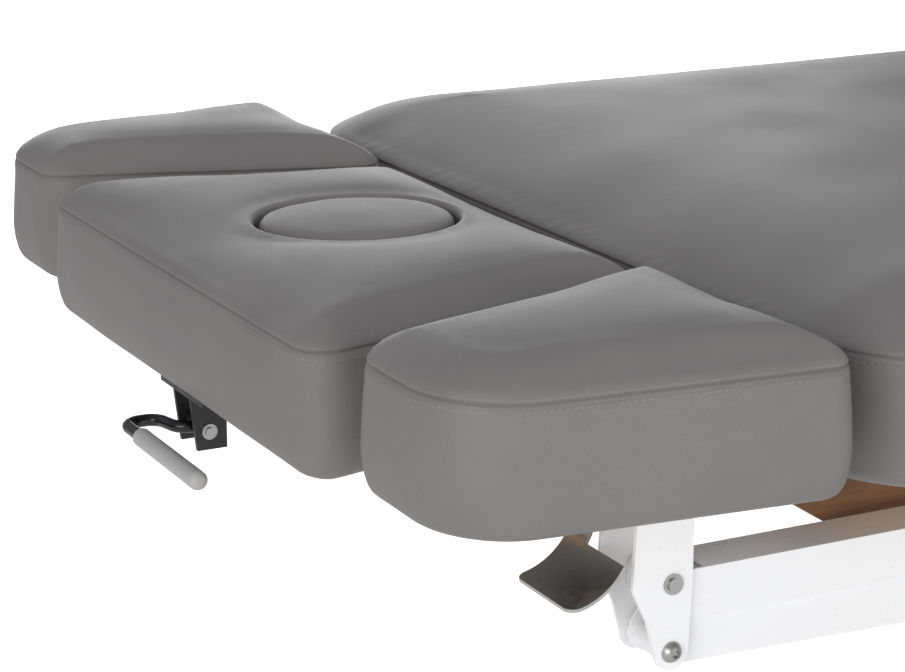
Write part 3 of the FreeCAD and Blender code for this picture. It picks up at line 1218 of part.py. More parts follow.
# Control box and mains inlet
box_x = f"({CABINET_HEAD} + panel_thick)"
node(
    "control_box",
    box(
        "control_box", (box_x, f"{box_x} + control_long"), (
            f"{D2} - panel_thick - control_deep", f"{D2} - panel_thick"
        ),
        (f"{COLUMN_BASE} + control_lift", f"{COLUMN_BASE} + control_lift + control_tall"),
    ),
)
inlet_y, inlet_z = "inlet_place", "inlet_height"
flange_box = box(
    "inlet_flange_box", (f"{CABINET_HEAD} - inlet_flange", CABINET_HEAD),
    (f"{inlet_y} - inlet_wide / 2 - inlet_wall", f"{inlet_y} + inlet_wide / 2 + inlet_wall"),
    (f"{inlet_z} - inlet_tall / 2 - inlet_wall", f"{inlet_z} + inlet_tall / 2 + inlet_wall"),
)
socket = box(
    "inlet_socket", (f"{CABINET_HEAD} - inlet_flange - overrun", f"{CABINET_HEAD} - inlet_flange / 2"),
    (f"{inlet_y} - inlet_wide / 2", f"{inlet_y} + inlet_wide / 2"),
    (f"{inlet_z} - inlet_tall / 2", f"{inlet_z} + inlet_tall / 2"),
)
node("power_inlet", cut("power_inlet", flange_box, socket))

# Checks before writing
doc.recompute()
for item in doc.Objects:
    if "Invalid" in item.State or "Error" in item.State:
        raise RuntimeError(f"{item.Name} is {item.State}")
for name, item in nodes.items():
    if item.Shape.isNull() or not item.Shape.isValid():
        raise RuntimeError(f"{name} has no valid shape")
    if len(name) >= 60:
        raise RuntimeError(f"{name} is too long a name")

# One file for each sub-part
os.makedirs("parts", exist_ok=True)
for name, item in nodes.items():
    item.Shape.exportStep(f"parts/{name}.step")
print(len(nodes), "sub-parts")
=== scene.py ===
import json
import math

import bmesh
import bpy
import numpy as np
from mathutils import Matrix, Vector, kdtree
from mathutils.geometry import delaunay_2d_cdt


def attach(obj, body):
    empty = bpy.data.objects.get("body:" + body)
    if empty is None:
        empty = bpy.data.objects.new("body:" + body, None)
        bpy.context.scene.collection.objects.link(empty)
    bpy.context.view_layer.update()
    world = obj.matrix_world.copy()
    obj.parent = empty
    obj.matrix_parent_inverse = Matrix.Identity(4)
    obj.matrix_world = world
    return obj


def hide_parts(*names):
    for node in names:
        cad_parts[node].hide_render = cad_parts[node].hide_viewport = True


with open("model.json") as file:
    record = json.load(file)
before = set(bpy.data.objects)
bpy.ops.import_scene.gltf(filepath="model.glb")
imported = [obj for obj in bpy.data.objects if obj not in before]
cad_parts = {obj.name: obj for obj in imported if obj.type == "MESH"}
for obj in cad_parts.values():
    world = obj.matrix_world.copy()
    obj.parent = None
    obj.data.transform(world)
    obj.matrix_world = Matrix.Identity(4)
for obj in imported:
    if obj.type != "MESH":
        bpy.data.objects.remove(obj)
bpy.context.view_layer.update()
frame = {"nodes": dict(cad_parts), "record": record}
nodes = frame["nodes"]
scene = bpy.context.scene

# Sizes repeated from the CAD source, in millimetres
PAD_BASE, PAD_SIDE, BOARD_THICK, BOARD_INSET, LEAST_CORNER = 600, 78, 15, 40, 5
SIDE_SHARES = (
    (0.21, 0.0), (0.085, 0.06), (0.025, 0.15), (-0.01, 0.34), (-0.005, 0.55), (0.01, 0.8), (0.03, 1.0),
)
ARM_RISE = 8

# Crowns: a little fuller than the solids', as the photograph shows them
FACE_DOME, ARM_DOME, BED_DOME = (52, 21), (46, 21), (140, 31)
PLUG = {"middle": (-810, 0), "run": 130, "wide": 118, "proud": 2}
PADS = {
    "back": ([(-685, -400), (-7, -400), (-7, 400), (-685, 400)], [100, 14, 14, 100], BED_DOME, 0, 7),
    "seat": ([(1, -400), (401, -400), (401, 400), (1, 400)], [14, 14, 14, 14], BED_DOME, 0, 7),
    "leg": ([(409, -400), (969, -400), (969, 400), (409, 400)], [14, 80, 80, 14], BED_DOME, 0, 7),
    "face": ([(-945, -224), (-693, -165), (-693, 165), (-945, 224)], [24, 24, 24, 24], FACE_DOME, 0, 5),
    "near_armrest": (
        [(-934, -371), (-697, -394), (-697, -173.9), (-934, -254)], [62, 16, 20, 28], ARM_DOME, ARM_RISE, 5,
    ),
}

# Outline that the armrest's board recess follows, which is the solid's own
ARM_BOARD = ([(-951, -379), (-697, -387), (-697, -173.9), (-951, -233.4)], [70, 18, 20, 20])
STITCH_PITCH, STITCH_DROP = 4.3, 4.2
THREAD_RADIUS, THREAD_PROUD, THREAD_SINK = 0.36, 0.28, 0.22
BOARD_PLAY = 0.4

# Sewn seam and the well's lip: inset or growth, and height from the seam or drop from the crown
SEAM_FOLD = ((-0.2, -2.6), (0.0, -1.4), (0.9, -0.5), (2.0, 0.0), (1.2, 0.6), (0.5, 1.5), (0.6, 2.6))
LIP_EDGE = 6.5
LIP_FOLD = ((5.2, 0.5), (3.4, 1.6), (2.2, 3.6), (1.7, 6.5), (1.6, 30))
WELL_GROW = 1.2

# Cloth: farthest move of a pad's surface, rounds that draw it smooth, in millimetres and counts
BED_SWELL, SMALL_SWELL, SWELL_ROUNDS, CROWN_ROUNDS = 4.0, 3.0, 6, 30

# Camera and view
AZIMUTH, ELEVATION = math.radians(-27.2), math.radians(15.8)
FOCUS, REACH_BACK = 2610.0, 1463.0
AIM = Vector((-0.8567, -0.2205, 0.678))
toward = Vector((
    math.sin(AZIMUTH) * math.cos(ELEVATION), -math.cos(AZIMUTH) * math.cos(ELEVATION), math.sin(ELEVATION),
))
right = Vector((0, 0, 1)).cross(toward).normalized()
above = toward.cross(right)
camera = bpy.data.objects.new("camera", bpy.data.cameras.new("camera"))
scene.collection.objects.link(camera)
turn = Matrix((right, above, toward)).transposed()
camera.matrix_world = Matrix.Translation(AIM + toward * (REACH_BACK / 1000)) @ turn.to_4x4()
camera.data.sensor_width = 36
camera.data.lens = FOCUS * 36 / 905
camera.data.shift_x = 2.5 / 905
camera.data.shift_y = 4 / 905
camera.data.clip_start = 0.05
camera.data.clip_end = 60
scene.camera = camera
scene.view_settings.view_transform = "Standard"


# Material helpers
def linear(*values):
    made = [v / 12.92 if v <= 0.04045 else ((v + 0.055) / 1.055) ** 2.4 for v in (n / 255 for n in values)]
    return (*made, 1.0)


class Paint:
    def __init__(self, name, roughness, metallic=0.0, **sockets):
        self.material = bpy.data.materials.new(name)
        self.material.use_nodes = True
        self.tree = self.material.node_tree
        self.shader = self.tree.nodes["Principled BSDF"]
        self.shader.inputs["Roughness"].default_value = roughness
        self.shader.inputs["Metallic"].default_value = metallic
        for socket, value in sockets.items():
            self.shader.inputs[socket.replace("_", " ")].default_value = value
        self.place = self.add("ShaderNodeTexCoord").outputs["Object"]
        self.height = None

    def add(self, kind, **inputs):
        made = self.tree.nodes.new(kind)
        for socket, value in inputs.items():
            self.put(made.inputs[socket.replace("_", " ")], value)
        return made

    def put(self, socket, value):
        if isinstance(value, bpy.types.NodeSocket):
            self.tree.links.new(value, socket)
        else:
            socket.default_value = value

    def stretched(self, scale):
        return self.add("ShaderNodeMapping", Vector=self.place, Scale=scale).outputs["Vector"]

    def noise(self, scale, detail=3.0, roughness=0.55, stretch=None, distortion=0.0):
        place = self.stretched(stretch) if stretch else self.place
        made = self.add(
            "ShaderNodeTexNoise", Vector=place, Scale=scale, Detail=detail, Roughness=roughness,
            Distortion=distortion,
        )
        return made.outputs["Fac"]

    def cells(self, scale):
        made = self.add("ShaderNodeTexVoronoi", Vector=self.place, Scale=scale)
        return made.outputs["Distance"]

    def ramp(self, value, stops):
        made = self.add("ShaderNodeValToRGB", Fac=value)
        band = made.color_ramp
        while len(band.elements) < len(stops):
            band.elements.new(0.5)
        for element, (spot, tone) in zip(band.elements, stops):
            element.position = spot
            element.color = tone if len(tone) == 4 else (*tone, 1.0)
        return made.outputs["Color"]

    def mix(self, share, first, second, blend="MIX"):
        made = self.tree.nodes.new("ShaderNodeMix")
        made.data_type = "RGBA"
        made.blend_type = blend
        for key, value in ((0, share), (6, first), (7, second)):
            self.put(made.inputs[key], value)
        return made.outputs[2]

    def sum(self, kind, first, second):
        made = self.tree.nodes.new("ShaderNodeMath")
        made.operation = kind
        self.put(made.inputs[0], first)
        self.put(made.inputs[1], second)
        return made.outputs[0]

    def spread(self, value, low, high, start=0.3, end=0.7):
        made = self.add("ShaderNodeMapRange", Value=value)
        for key, number in ((1, start), (2, end), (3, low), (4, high)):
            made.inputs[key].default_value = number
        return made.outputs["Result"]

    def bump(self, value, distance, strength=1.0):
        made = self.add("ShaderNodeBump", Height=value, Distance=distance, Strength=strength)
        if self.height:
            self.put(made.inputs["Normal"], self.height)
        self.height = made.outputs["Normal"]
        self.put(self.shader.inputs["Normal"], self.height)

    def colour(self, value):
        self.put(self.shader.inputs["Base Color"], value)

    def rough(self, value):
        self.put(self.shader.inputs["Roughness"], value)


def leather(name, tone):
    paint = Paint(name, 0.46, Specular_IOR_Level=0.22)
    light = tuple(min(1.0, v * 1.09) for v in tone[:3]) + (1.0,)
    dark = tuple(v * 0.92 for v in tone[:3]) + (1.0,)
    cloud = paint.noise(9, 4)
    tint = paint.mix(paint.spread(cloud, 0, 1), dark, light)
    grain = paint.cells(850)
    pores = paint.spread(grain, 0.0, 1.0, 0.05, 0.5)
    shade = paint.mix(pores, tuple(v * 0.86 for v in tone[:3]) + (1.0,), tint)
    paint.colour(paint.mix(0.5, tint, shade))
    speckle = paint.spread(paint.noise(1700, 2), -0.03, 0.05)
    paint.rough(paint.sum("ADD", paint.spread(cloud, 0.43, 0.51), speckle))
    paint.bump(paint.noise(38, 3), 0.0009, 0.25)
    paint.bump(grain, 0.0003, 0.3)
    paint.bump(paint.noise(2300, 2), 0.0002, 0.22)
    return paint.material


def coated_steel(name, tone, roughness=0.34, grime=0.06):
    paint = Paint(name, roughness)
    dull = tuple(v * (1 - grime) for v in tone[:3]) + (1.0,)
    paint.colour(paint.mix(paint.spread(paint.noise(22, 5), 0, 1, 0.42, 0.68), tone, dull))
    paint.rough(paint.spread(paint.noise(60, 3), roughness - 0.05, roughness + 0.07))
    paint.bump(paint.noise(620, 2), 0.00025, 0.1)
    return paint.material


def bare_steel(name, tone, roughness, stretch, strength=0.3):
    paint = Paint(name, roughness, 1.0)
    streak = paint.noise(55, 6, 0.7, stretch)
    deep = tuple(v * 0.72 for v in tone[:3]) + (1.0,)
    paint.colour(paint.mix(paint.spread(streak, 0, 1), deep, tone))
    paint.rough(paint.spread(paint.noise(140, 4), roughness - 0.05, roughness + 0.12))
    paint.bump(streak, 0.0003, strength)
    return paint.material


def timber(name, light, dark, end_tone, roughness, coat, scale=1.0):
    paint = Paint(name, roughness, Coat_Weight=coat, Coat_Roughness=0.18)
    place = paint.stretched((3.2 * scale, 42 * scale, 42 * scale))
    rings = paint.add(
        "ShaderNodeTexNoise", Vector=place, Scale=1.0, Detail=7.0, Roughness=0.62, Distortion=0.7
    ).outputs["Fac"]
    figure = paint.ramp(rings, ((0.32, dark), (0.48, light), (0.56, dark), (0.7, light)))
    fibre = paint.noise(1.0, 5, 0.7, (90 * scale, 1500 * scale, 1500 * scale))
    body = paint.mix(paint.spread(fibre, 0.0, 0.4), figure, tuple(v * 0.6 for v in dark[:3]) + (1.0,))
    normal = paint.add("ShaderNodeNewGeometry").outputs["Normal"]
    along = paint.add("ShaderNodeSeparateXYZ", Vector=normal).outputs["X"]
    across = paint.spread(paint.sum("ABSOLUTE", along, 0.0), 0, 1, 0.35, 0.6)
    pore = paint.noise(1.0, 3, 0.6, (700, 700, 260))
    end = paint.mix(paint.spread(pore, 0, 0.5), end_tone, dark)
    paint.colour(paint.mix(across, body, end))
    paint.rough(paint.spread(fibre, roughness - 0.06, roughness + 0.1))
    paint.bump(fibre, 0.0003, 0.3)
    return paint.material


def plies(name):
    paint = Paint(name, 0.6)
    light, dark = linear(205, 172, 128), linear(150, 112, 72)
    height = paint.add("ShaderNodeSeparateXYZ", Vector=paint.place).outputs["Z"]
    layer = paint.sum("FRACT", paint.sum("MULTIPLY", height, 330.0), 0.0)
    bands = paint.ramp(layer, ((0.0, dark), (0.42, dark), (0.5, light), (0.94, light), (1.0, dark)))
    grain = paint.noise(1.0, 6, 0.6, (6, 60, 60), 0.5)
    sheet = paint.mix(paint.spread(grain, 0, 1), light, linear(178, 140, 95))
    normal = paint.add("ShaderNodeNewGeometry").outputs["Normal"]
    up = paint.add("ShaderNodeSeparateXYZ", Vector=normal).outputs["Z"]
    flat = paint.spread(paint.sum("ABSOLUTE", up, 0.0), 0, 1, 0.4, 0.7)
    paint.colour(paint.mix(flat, bands, sheet))
    paint.bump(paint.noise(900, 3), 0.0003, 0.3)
    return paint.material


def plastic(name, tone, roughness, grain=700, depth=0.0002):
    paint = Paint(name, roughness)
    dull = tuple(v * 0.85 for v in tone[:3]) + (1.0,)
    paint.colour(paint.mix(paint.spread(paint.noise(30, 4), 0, 0.5), tone, dull))
    paint.rough(paint.spread(paint.noise(90, 3), roughness - 0.05, roughness + 0.08))
    paint.bump(paint.cells(grain), depth, 0.3)
    return paint.material


GREY = linear(124, 121, 119)
LOOKS = {
    "upholstery": leather("grey_synthetic_leather", GREY),
    "plywood": plies("birch_plywood"),
    "varnished_wood": timber(
        "varnished_timber", linear(134, 90, 51), linear(101, 65, 35), linear(160, 115, 68), 0.36, 0.4
    ),
    "black_steel": coated_steel("black_powder_coat", linear(34, 34, 35), 0.42),
    "white_steel": coated_steel("white_powder_coat", linear(240, 240, 240), 0.3, 0.01),
    "white_columns": coated_steel("white_column_coat", linear(228, 228, 228), 0.34, 0.04),
    "polished_steel": bare_steel("polished_stainless", linear(205, 203, 200), 0.12, (6, 30, 30), 0.05),
    "zinc_steel": bare_steel("zinc_plate", linear(188, 188, 186), 0.32, (30, 30, 30), 0.2),
    "black_paint": coated_steel("gloss_black_paint", linear(20, 20, 21), 0.2),
    "grip_plastic": plastic("light_grey_grip", linear(176, 175, 173), 0.46),
    "foot_rubber": plastic("black_rubber", linear(26, 26, 26), 0.8, 500, 0.0004),
    "cabinet_wood": timber(
        "walnut_veneer", linear(124, 86, 58), linear(88, 58, 37), linear(112, 78, 52), 0.42, 0.25, 0.6
    ),
    "handle_steel": bare_steel("brushed_handle_steel", linear(196, 195, 192), 0.28, (40, 40, 3), 0.5),
    "black_plastic": plastic("black_moulded_plastic", linear(24, 24, 25), 0.5),
    "grey_plastic": plastic("grey_moulded_plastic", linear(92, 94, 97), 0.5),
}
slots = {part["node"]: part["material_slot"] for part in frame["record"]["subparts"]}
for name, node in nodes.items():
    node.data.materials.clear()
    node.data.materials.append(LOOKS[slots[name]])


# Outlines of the pads, ring after ring with the same count of points
def count_points(corners, radii, step=5.0):
    counts = []
    for k, radius in enumerate(radii):
        length = math.dist(corners[k], corners[(k + 1) % len(corners)])
        counts.append((max(7, int(radius * 1.57 / step)), max(8, int(length / step))))
    return counts


def ring(corners, radii, inset, height, counts):
    points = [np.array(corner, float) for corner in corners]
    total = len(points)
    unit = lambda v: v / np.hypot(*v)
    normals = []
    for k in range(total):
        along = unit(points[(k + 1) % total] - points[k])
        normals.append(np.array((-along[1], along[0])))
    moved = []
    for k in range(total):
        before, after = normals[k - 1], normals[k]
        moved.append(points[k] + (before + after) * (inset / (1 + before @ after)))
    rounds, pulls, halves = [], [], []
    for k in range(total):
        back, ahead = unit(moved[k - 1] - moved[k]), unit(moved[(k + 1) % total] - moved[k])
        halves.append(math.acos(back @ ahead) / 2)
        rounds.append(max(radii[k] - inset, LEAST_CORNER))
        pulls.append(rounds[k] / math.tan(halves[k]))
    places = []
    for k in range(total):
        back, ahead = unit(moved[k - 1] - moved[k]), unit(moved[(k + 1) % total] - moved[k])
        centre = moved[k] + unit(back + ahead) * (rounds[k] / math.sin(halves[k]))
        start, end = moved[k] + back * pulls[k], moved[k] + ahead * pulls[k]
        first = math.atan2(*(start - centre)[::-1])
        sweep = (math.atan2(*(end - centre)[::-1]) - first + math.pi) % (2 * math.pi) - math.pi
        turns, runs = counts[k]
        for t in np.linspace(0, 1, turns, endpoint=False):
            angle = first + sweep * t
            places.append(centre + rounds[k] * np.array((math.cos(angle), math.sin(angle))))
        following = (k + 1) % total
        towards = unit(moved[k] - moved[following])
        target = moved[following] + towards * pulls[following]
        for t in np.linspace(0, 1, runs, endpoint=False):
            places.append(end + (target - end) * t)
    flat = np.array(places)
    return np.column_stack((flat, np.full(len(flat), float(height))))


def plug_ring(grow, height, count=112):
    turn = np.linspace(0, 2 * math.pi, count, endpoint=False)
    x = PLUG["middle"][0] + (PLUG["run"] / 2 + grow) * np.cos(turn)
    y = PLUG["middle"][1] + (PLUG["wide"] / 2 + grow) * np.sin(turn)
    return np.column_stack((x, y, np.full(count, float(height))))


def smooth_profile(points, steps=4):
    made = []
    padded = [points[0], *points, points[-1]]
    for k in range(1, len(padded) - 2):
        a, b, c, d = (np.array(p, float) for p in padded[k - 1:k + 3])
        for t in np.linspace(0, 1, steps, endpoint=False):
            square, cube = 2 * a - 5 * b + 4 * c - d, 3 * b - a - 3 * c + d
            made.append(0.5 * (2 * b + (c - a) * t + square * t * t + cube * t ** 3))
    made.append(np.array(points[-1], float))
    return made


def dome(share):
    share = np.clip(share, 0, 1)
    return (1 - (1 - share) ** 1.8) ** 0.573


def inside(points, loop):
    x, y = points[:, :1], points[:, 1:2]
    a, b = loop[:, :2], np.roll(loop[:, :2], -1, 0)
    crosses = (a[:, 1] > y) != (b[:, 1] > y)
    span = np.where(b[:, 1] == a[:, 1], 1e-9, b[:, 1] - a[:, 1])
    return ((x < (b[:, 0] - a[:, 0]) * (y - a[:, 1]) / span + a[:, 0]) & crosses).sum(1) % 2 == 1


def away(points, loop):
    a, b = loop[:, :2], np.roll(loop[:, :2], -1, 0)
    best = np.full(len(points), 1e9)
    for p, q in zip(a, b):
        along = q - p
        t = np.clip(((points[:, :2] - p) @ along) / (along @ along + 1e-12), 0, 1)
        best = np.minimum(best, np.hypot(*(points[:, :2] - p - t[:, None] * along).T))
    return best


# Surface between an outer loop and, where there is one, a hole
def fill(outer, hole, spacing, height):
    low, high = outer.min(0), outer.max(0)
    xs = np.arange(low[0] + spacing / 2, high[0], spacing)
    ys = np.arange(low[1] + spacing / 2, high[1], spacing * 0.87)
    grid = np.array([(x + (k % 2) * spacing / 2, y) for k, y in enumerate(ys) for x in xs])
    keep = inside(grid, outer) & (away(grid, outer) > spacing * 0.55)
    if hole is not None:
        keep &= ~inside(grid, hole) & (away(grid, hole) > spacing * 0.4)
    loops = [outer] if hole is None else [outer, hole]
    flat = np.vstack([loop[:, :2] for loop in loops] + [grid[keep]])
    edges, start = [], 0
    for loop in loops:
        edges += [(start + k, start + (k + 1) % len(loop)) for k in range(len(loop))]
        start += len(loop)
    made = delaunay_2d_cdt([Vector(p) for p in flat], edges, [], 1, 1e-6)
    spots, faces = np.array([tuple(v) for v in made[0]]), made[2]
    if hole is not None:
        middles = np.array([spots[list(face)].mean(0) for face in faces])
        faces = [face for face, gone in zip(faces, inside(middles, hole)) if not gone]
    return np.column_stack((spots, height(spots))), [tuple(face) for face in faces]


class Shell:
    def __init__(self):
        self.points, self.faces = [], []
        self.total = 0

    def add(self, points, faces):
        self.points.append(points)
        self.faces += [tuple(self.total + k for k in face) for face in faces]
        self.total += len(points)

    def band(self, rings):
        count = len(rings[0])
        faces = []
        for k in range(len(rings) - 1):
            for m in range(count):
                following = (m + 1) % count
                low, high = k * count, (k + 1) * count
                faces.append((low + m, low + following, high + following, high + m))
        self.add(np.vstack(rings), faces)

    def mesh(self, name, weld=0.02):
        data = bpy.data.meshes.new(name)
        data.from_pydata((np.vstack(self.points) / 1000).tolist(), [], self.faces)
        work = bmesh.new()
        work.from_mesh(data)
        bmesh.ops.remove_doubles(work, verts=work.verts, dist=weld / 1000)
        bmesh.ops.dissolve_degenerate(work, edges=work.edges, dist=1e-6)
        bmesh.ops.recalc_face_normals(work, faces=work.faces)
        for face in work.faces:
            face.smooth = True
        work.to_mesh(data)
        work.free()
        piece = bpy.data.objects.new(name, data)
        scene.collection.objects.link(piece)
        return piece


def coordinates(piece):
    flat = np.zeros(len(piece.data.vertices) * 3)
    piece.data.vertices.foreach_get("co", flat)
    return flat.reshape(-1, 3)


def normals_of(piece):
    flat = np.zeros(len(piece.data.vertices) * 3)
    piece.data.vertices.foreach_get("normal", flat)
    return flat.reshape(-1, 3)


def set_coordinates(piece, places):
    piece.data.vertices.foreach_set("co", places.ravel())
    piece.data.update()


# Pads: underside with the board's recess, side band, sewn seam and crown
def pad_shell(corners, radii, crown, rise, hole, board):
    reach, tall = crown
    base = PAD_BASE + rise
    seam = base + PAD_SIDE
    counts = count_points(corners, radii)
    rim = SIDE_SHARES[-1][0] * PAD_SIDE
    recess = base + BOARD_THICK + BOARD_PLAY
    rings = [ring(*board, BOARD_INSET - BOARD_PLAY, height, counts) for height in (recess, base)]
    rings.append(ring(corners, radii, SIDE_SHARES[0][0] * PAD_SIDE + 1, base, counts))
    for inset, height in smooth_profile(SIDE_SHARES):
        rings.append(ring(corners, radii, inset * PAD_SIDE, base + height * PAD_SIDE, counts))
    rings.pop()
    for inset, height in SEAM_FOLD:
        rings.append(ring(corners, radii, rim + inset, seam + height, counts))
    border = ring(corners, radii, rim, seam, counts)
    height = lambda spots: seam + tall * dome(away(spots, border) / reach)
    fine = 38 if hole else reach - 8
    depth = 3.0
    while depth < fine:
        crown_ring = ring(corners, radii, rim + depth, seam, counts)
        crown_ring[:, 2] = height(crown_ring)
        rings.append(crown_ring)
        depth += 1.5 if depth < 8 else (3.0 if depth < 20 else (6.0 if depth < 48 else 12.0))
    shell = Shell()
    shell.band(rings)
    if hole:
        lip = plug_ring(LIP_EDGE, 0)
        lip[:, 2] = height(lip)
        edge = [lip]
        for grow, drop in (*LIP_FOLD, (WELL_GROW, PAD_SIDE + tall - BOARD_THICK)):
            lower = plug_ring(grow, 0)
            lower[:, 2] = np.maximum(lip[:, 2] - drop, recess)
            edge.append(lower)
        shell.band(edge[::-1])
        shell.add(*fill(rings[-1], edge[0], 6.0, height))
        well_floor = edge[-1].copy()
        well_floor[:, 2] = recess
        shell.band([well_floor, edge[-1]])
        shell.add(*fill(rings[0], well_floor, 14.0, lambda spots: np.full(len(spots), recess)))
    else:
        spacing = 7.0 if reach < 60 else 12.0
        shell.add(*fill(rings[-1], None, spacing, height))
        shell.add(*fill(rings[0], None, 22.0, lambda spots: np.full(len(spots), recess)))
    return shell, border


# Slow, seeded waves that differ from pad to pad
def waves(places, seed, lengths, amount):
    chance = np.random.default_rng(seed)
    total = np.zeros(len(places))
    for length in lengths:
        way = chance.normal(size=3)
        way /= np.linalg.norm(way)
        total += np.sin(places @ way * (2 * math.pi / length) + chance.uniform(0, 6.28))
    return total * amount / len(lengths)


# Cloth simulation of a slightly smaller copy, swollen by pressure
def swell(piece, voxel, base, cap):
    copy = bpy.data.objects.new(f"{piece.name}_cloth", piece.data.copy())
    scene.collection.objects.link(copy)
    set_coordinates(copy, coordinates(copy) - normals_of(copy) * 0.0025)
    bpy.context.view_layer.objects.active = copy
    for item in bpy.context.selected_objects:
        item.select_set(False)
    copy.select_set(True)
    copy.data.remesh_voxel_size = voxel / 1000
    bpy.ops.object.voxel_remesh()
    start = coordinates(copy)
    held = copy.vertex_groups.new(name="held")
    low = np.where(start[:, 2] < (base + 8) / 1000)[0]
    held.add([int(k) for k in low], 1.0, "REPLACE")
    cloth = copy.modifiers.new("cloth", "CLOTH")
    settings = cloth.settings
    settings.quality = 4
    settings.mass = 0.3
    settings.tension_stiffness = settings.compression_stiffness = 18
    settings.shear_stiffness = 8
    settings.bending_stiffness = 1.5
    settings.use_pressure = True
    settings.uniform_pressure_force = 4
    settings.effector_weights.gravity = 0
    settings.vertex_group_mass = "held"
    cloth.collision_settings.use_collision = False
    cloth.point_cache.frame_start, cloth.point_cache.frame_end = 1, 20
    for number in range(1, 21):
        scene.frame_set(number)
    shown = copy.evaluated_get(bpy.context.evaluated_depsgraph_get())
    flat = np.zeros(len(shown.data.vertices) * 3)
    shown.data.vertices.foreach_get("co", flat)
    shift = flat.reshape(-1, 3) - start
    scene.frame_set(1)
    length = np.linalg.norm(shift, axis=1)
    shift *= (np.minimum(length, cap / 1000) / np.maximum(length, 1e-9))[:, None]
    tree = kdtree.KDTree(len(start))
    for k, place in enumerate(start):
        tree.insert(place, k)
    tree.balance()
    data = copy.data
    bpy.data.objects.remove(copy)
    bpy.data.meshes.remove(data)
    places = coordinates(piece)
    moved = np.zeros_like(places)
    for k, place in enumerate(places):
        near = tree.find_n(place, 6)
        weights = np.array([1 / (found[2] + 0.002) for found in near])
        moved[k] = (shift[[found[1] for found in near]] * weights[:, None]).sum(0) / weights.sum()
    return moved


def relax(piece, values, rounds):
    edges = np.array([tuple(edge.vertices) for edge in piece.data.edges])
    count = len(piece.data.vertices)
    degree = np.bincount(edges.ravel(), minlength=count)[:, None]
    for _ in range(rounds):
        total = np.zeros_like(values)
        np.add.at(total, edges[:, 0], values[edges[:, 1]])
        np.add.at(total, edges[:, 1], values[edges[:, 0]])
        values = values * 0.4 + 0.6 * total / np.maximum(degree, 1)
    return values


# Stitches: short rounded threads in a row below the seam
def stitches(name, border, seam, drop):
    loop = np.vstack((border, border[:1]))[:, :2]
    steps = np.hypot(*np.diff(loop, axis=0).T)
    length = np.concatenate(([0], np.cumsum(steps)))
    count = int(length[-1] / STITCH_PITCH)
    pitch = length[-1] / count
    shell = Shell()
    sides, rows = 6, 5
    angles = np.linspace(0, 2 * math.pi, sides, endpoint=False)
    for k in range(count):
        spots = [
            np.array([np.interp(((k + t) * pitch) % length[-1], length, loop[:, axis]) for axis in (0, 1)])
            for t in (0.16, 0.84)
        ]
        middle = (spots[0] + spots[1]) / 2
        along = spots[1] - spots[0]
        run = np.hypot(*along)
        along = np.array((*along / run, 0))
        outward = np.array((along[1], -along[0], 0))
        rings = []
        for t in np.linspace(-1, 1, rows):
            radius = THREAD_RADIUS * math.sqrt(max(1 - t * t, 0.02))
            centre = np.array((*middle, seam - drop)) + along * (t * run / 2)
            centre += outward * (THREAD_PROUD - THREAD_SINK * t * t)
            circle = outward * np.cos(angles)[:, None] + np.array((0, 0, 1.0)) * np.sin(angles)[:, None]
            rings.append(centre + circle * radius)
        start = shell.total
        shell.band(rings)
        shell.faces.append(tuple(start + m for m in range(sides)))
        shell.faces.append(tuple(start + (rows - 1) * sides + m for m in reversed(range(sides))))
    return shell.mesh(name, 0.0001)


def finish_pad(name, body, piece, *replaced):
    piece.data.materials.append(LOOKS["upholstery"])
    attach(piece, body)
    if replaced:
        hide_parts(*replaced)


thread = leather("stitching_thread", linear(148, 146, 143))
SEEDS = {name: 11 + k for k, name in enumerate(PADS)}
for name, (corners, radii, crown, rise, voxel) in PADS.items():
    hole = name == "face"
    board = ARM_BOARD if name == "near_armrest" else (corners, radii)
    shell, border = pad_shell(corners, radii, crown, rise, hole, board)
    piece = shell.mesh(f"{name}_pad")
    base = PAD_BASE + rise
    seam = base + PAD_SIDE
    places = coordinates(piece)
    rise_share = (places[:, 2] * 1000 - base) / PAD_SIDE
    gap = np.abs(places[:, 2] * 1000 - seam)
    outside = away(places * 1000, border)
    seam_free = np.clip(np.hypot(gap, outside) / 14, 0, 1) ** 1.3
    free = seam_free * np.clip(rise_share / 0.15, 0, 1)
    if hole:
        lip = away(places * 1000, plug_ring(2, 0))
        free *= np.clip((lip - 3) / 14, 0, 1)
    cap = BED_SWELL if crown is BED_DOME else SMALL_SWELL
    swollen = relax(piece, swell(piece, voxel, base, cap), SWELL_ROUNDS)
    places += swollen * free[:, None]
    # The crown is drawn smooth, as a tight cover is over foam
    crown_share = np.clip((outside - 10) / 30, 0, 1) * (rise_share > 1)
    if hole:
        crown_share *= np.clip((lip - 4) / 14, 0, 1)
    places += (relax(piece, places, CROWN_ROUNDS) - places) * crown_share[:, None]
    set_coordinates(piece, places)
    outward = normals_of(piece)
    ripple = waves(places * 1000, SEEDS[name], (150, 110, 85, 190), 0.9)
    pucker = waves(places * 1000, SEEDS[name] + 40, (11, 14, 19), 0.22 if crown is BED_DOME else 0.4)
    near_seam = np.exp(-((gap - 5) / 5.0) ** 2) * (outside < 14) * np.clip(gap / 3, 0, 1)
    places += outward * ((ripple * free + pucker * near_seam) / 1000)[:, None]
    set_coordinates(piece, places)
    stitch = stitches(f"{name}_stitches", border, seam, STITCH_DROP)
    stitch.data.materials.append(thread)
    items = [(name, piece, stitch)]
    if name == "near_armrest":
        twins = []
        for item in (piece, stitch):
            data = item.data.copy()
            twin = bpy.data.objects.new(item.name.replace("near", "far"), data)
            scene.collection.objects.link(twin)
            data.transform(Matrix.Scale(-1, 4, (0, 1, 0)))
            data.flip_normals()
            twins.append(twin)
        items.append(("far_armrest", *twins))
    for owner, pad, row in items:
        body = "lift" if owner == "seat" else owner
        finish_pad(owner, body, pad, f"{owner}_cushion")
        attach(row, body)

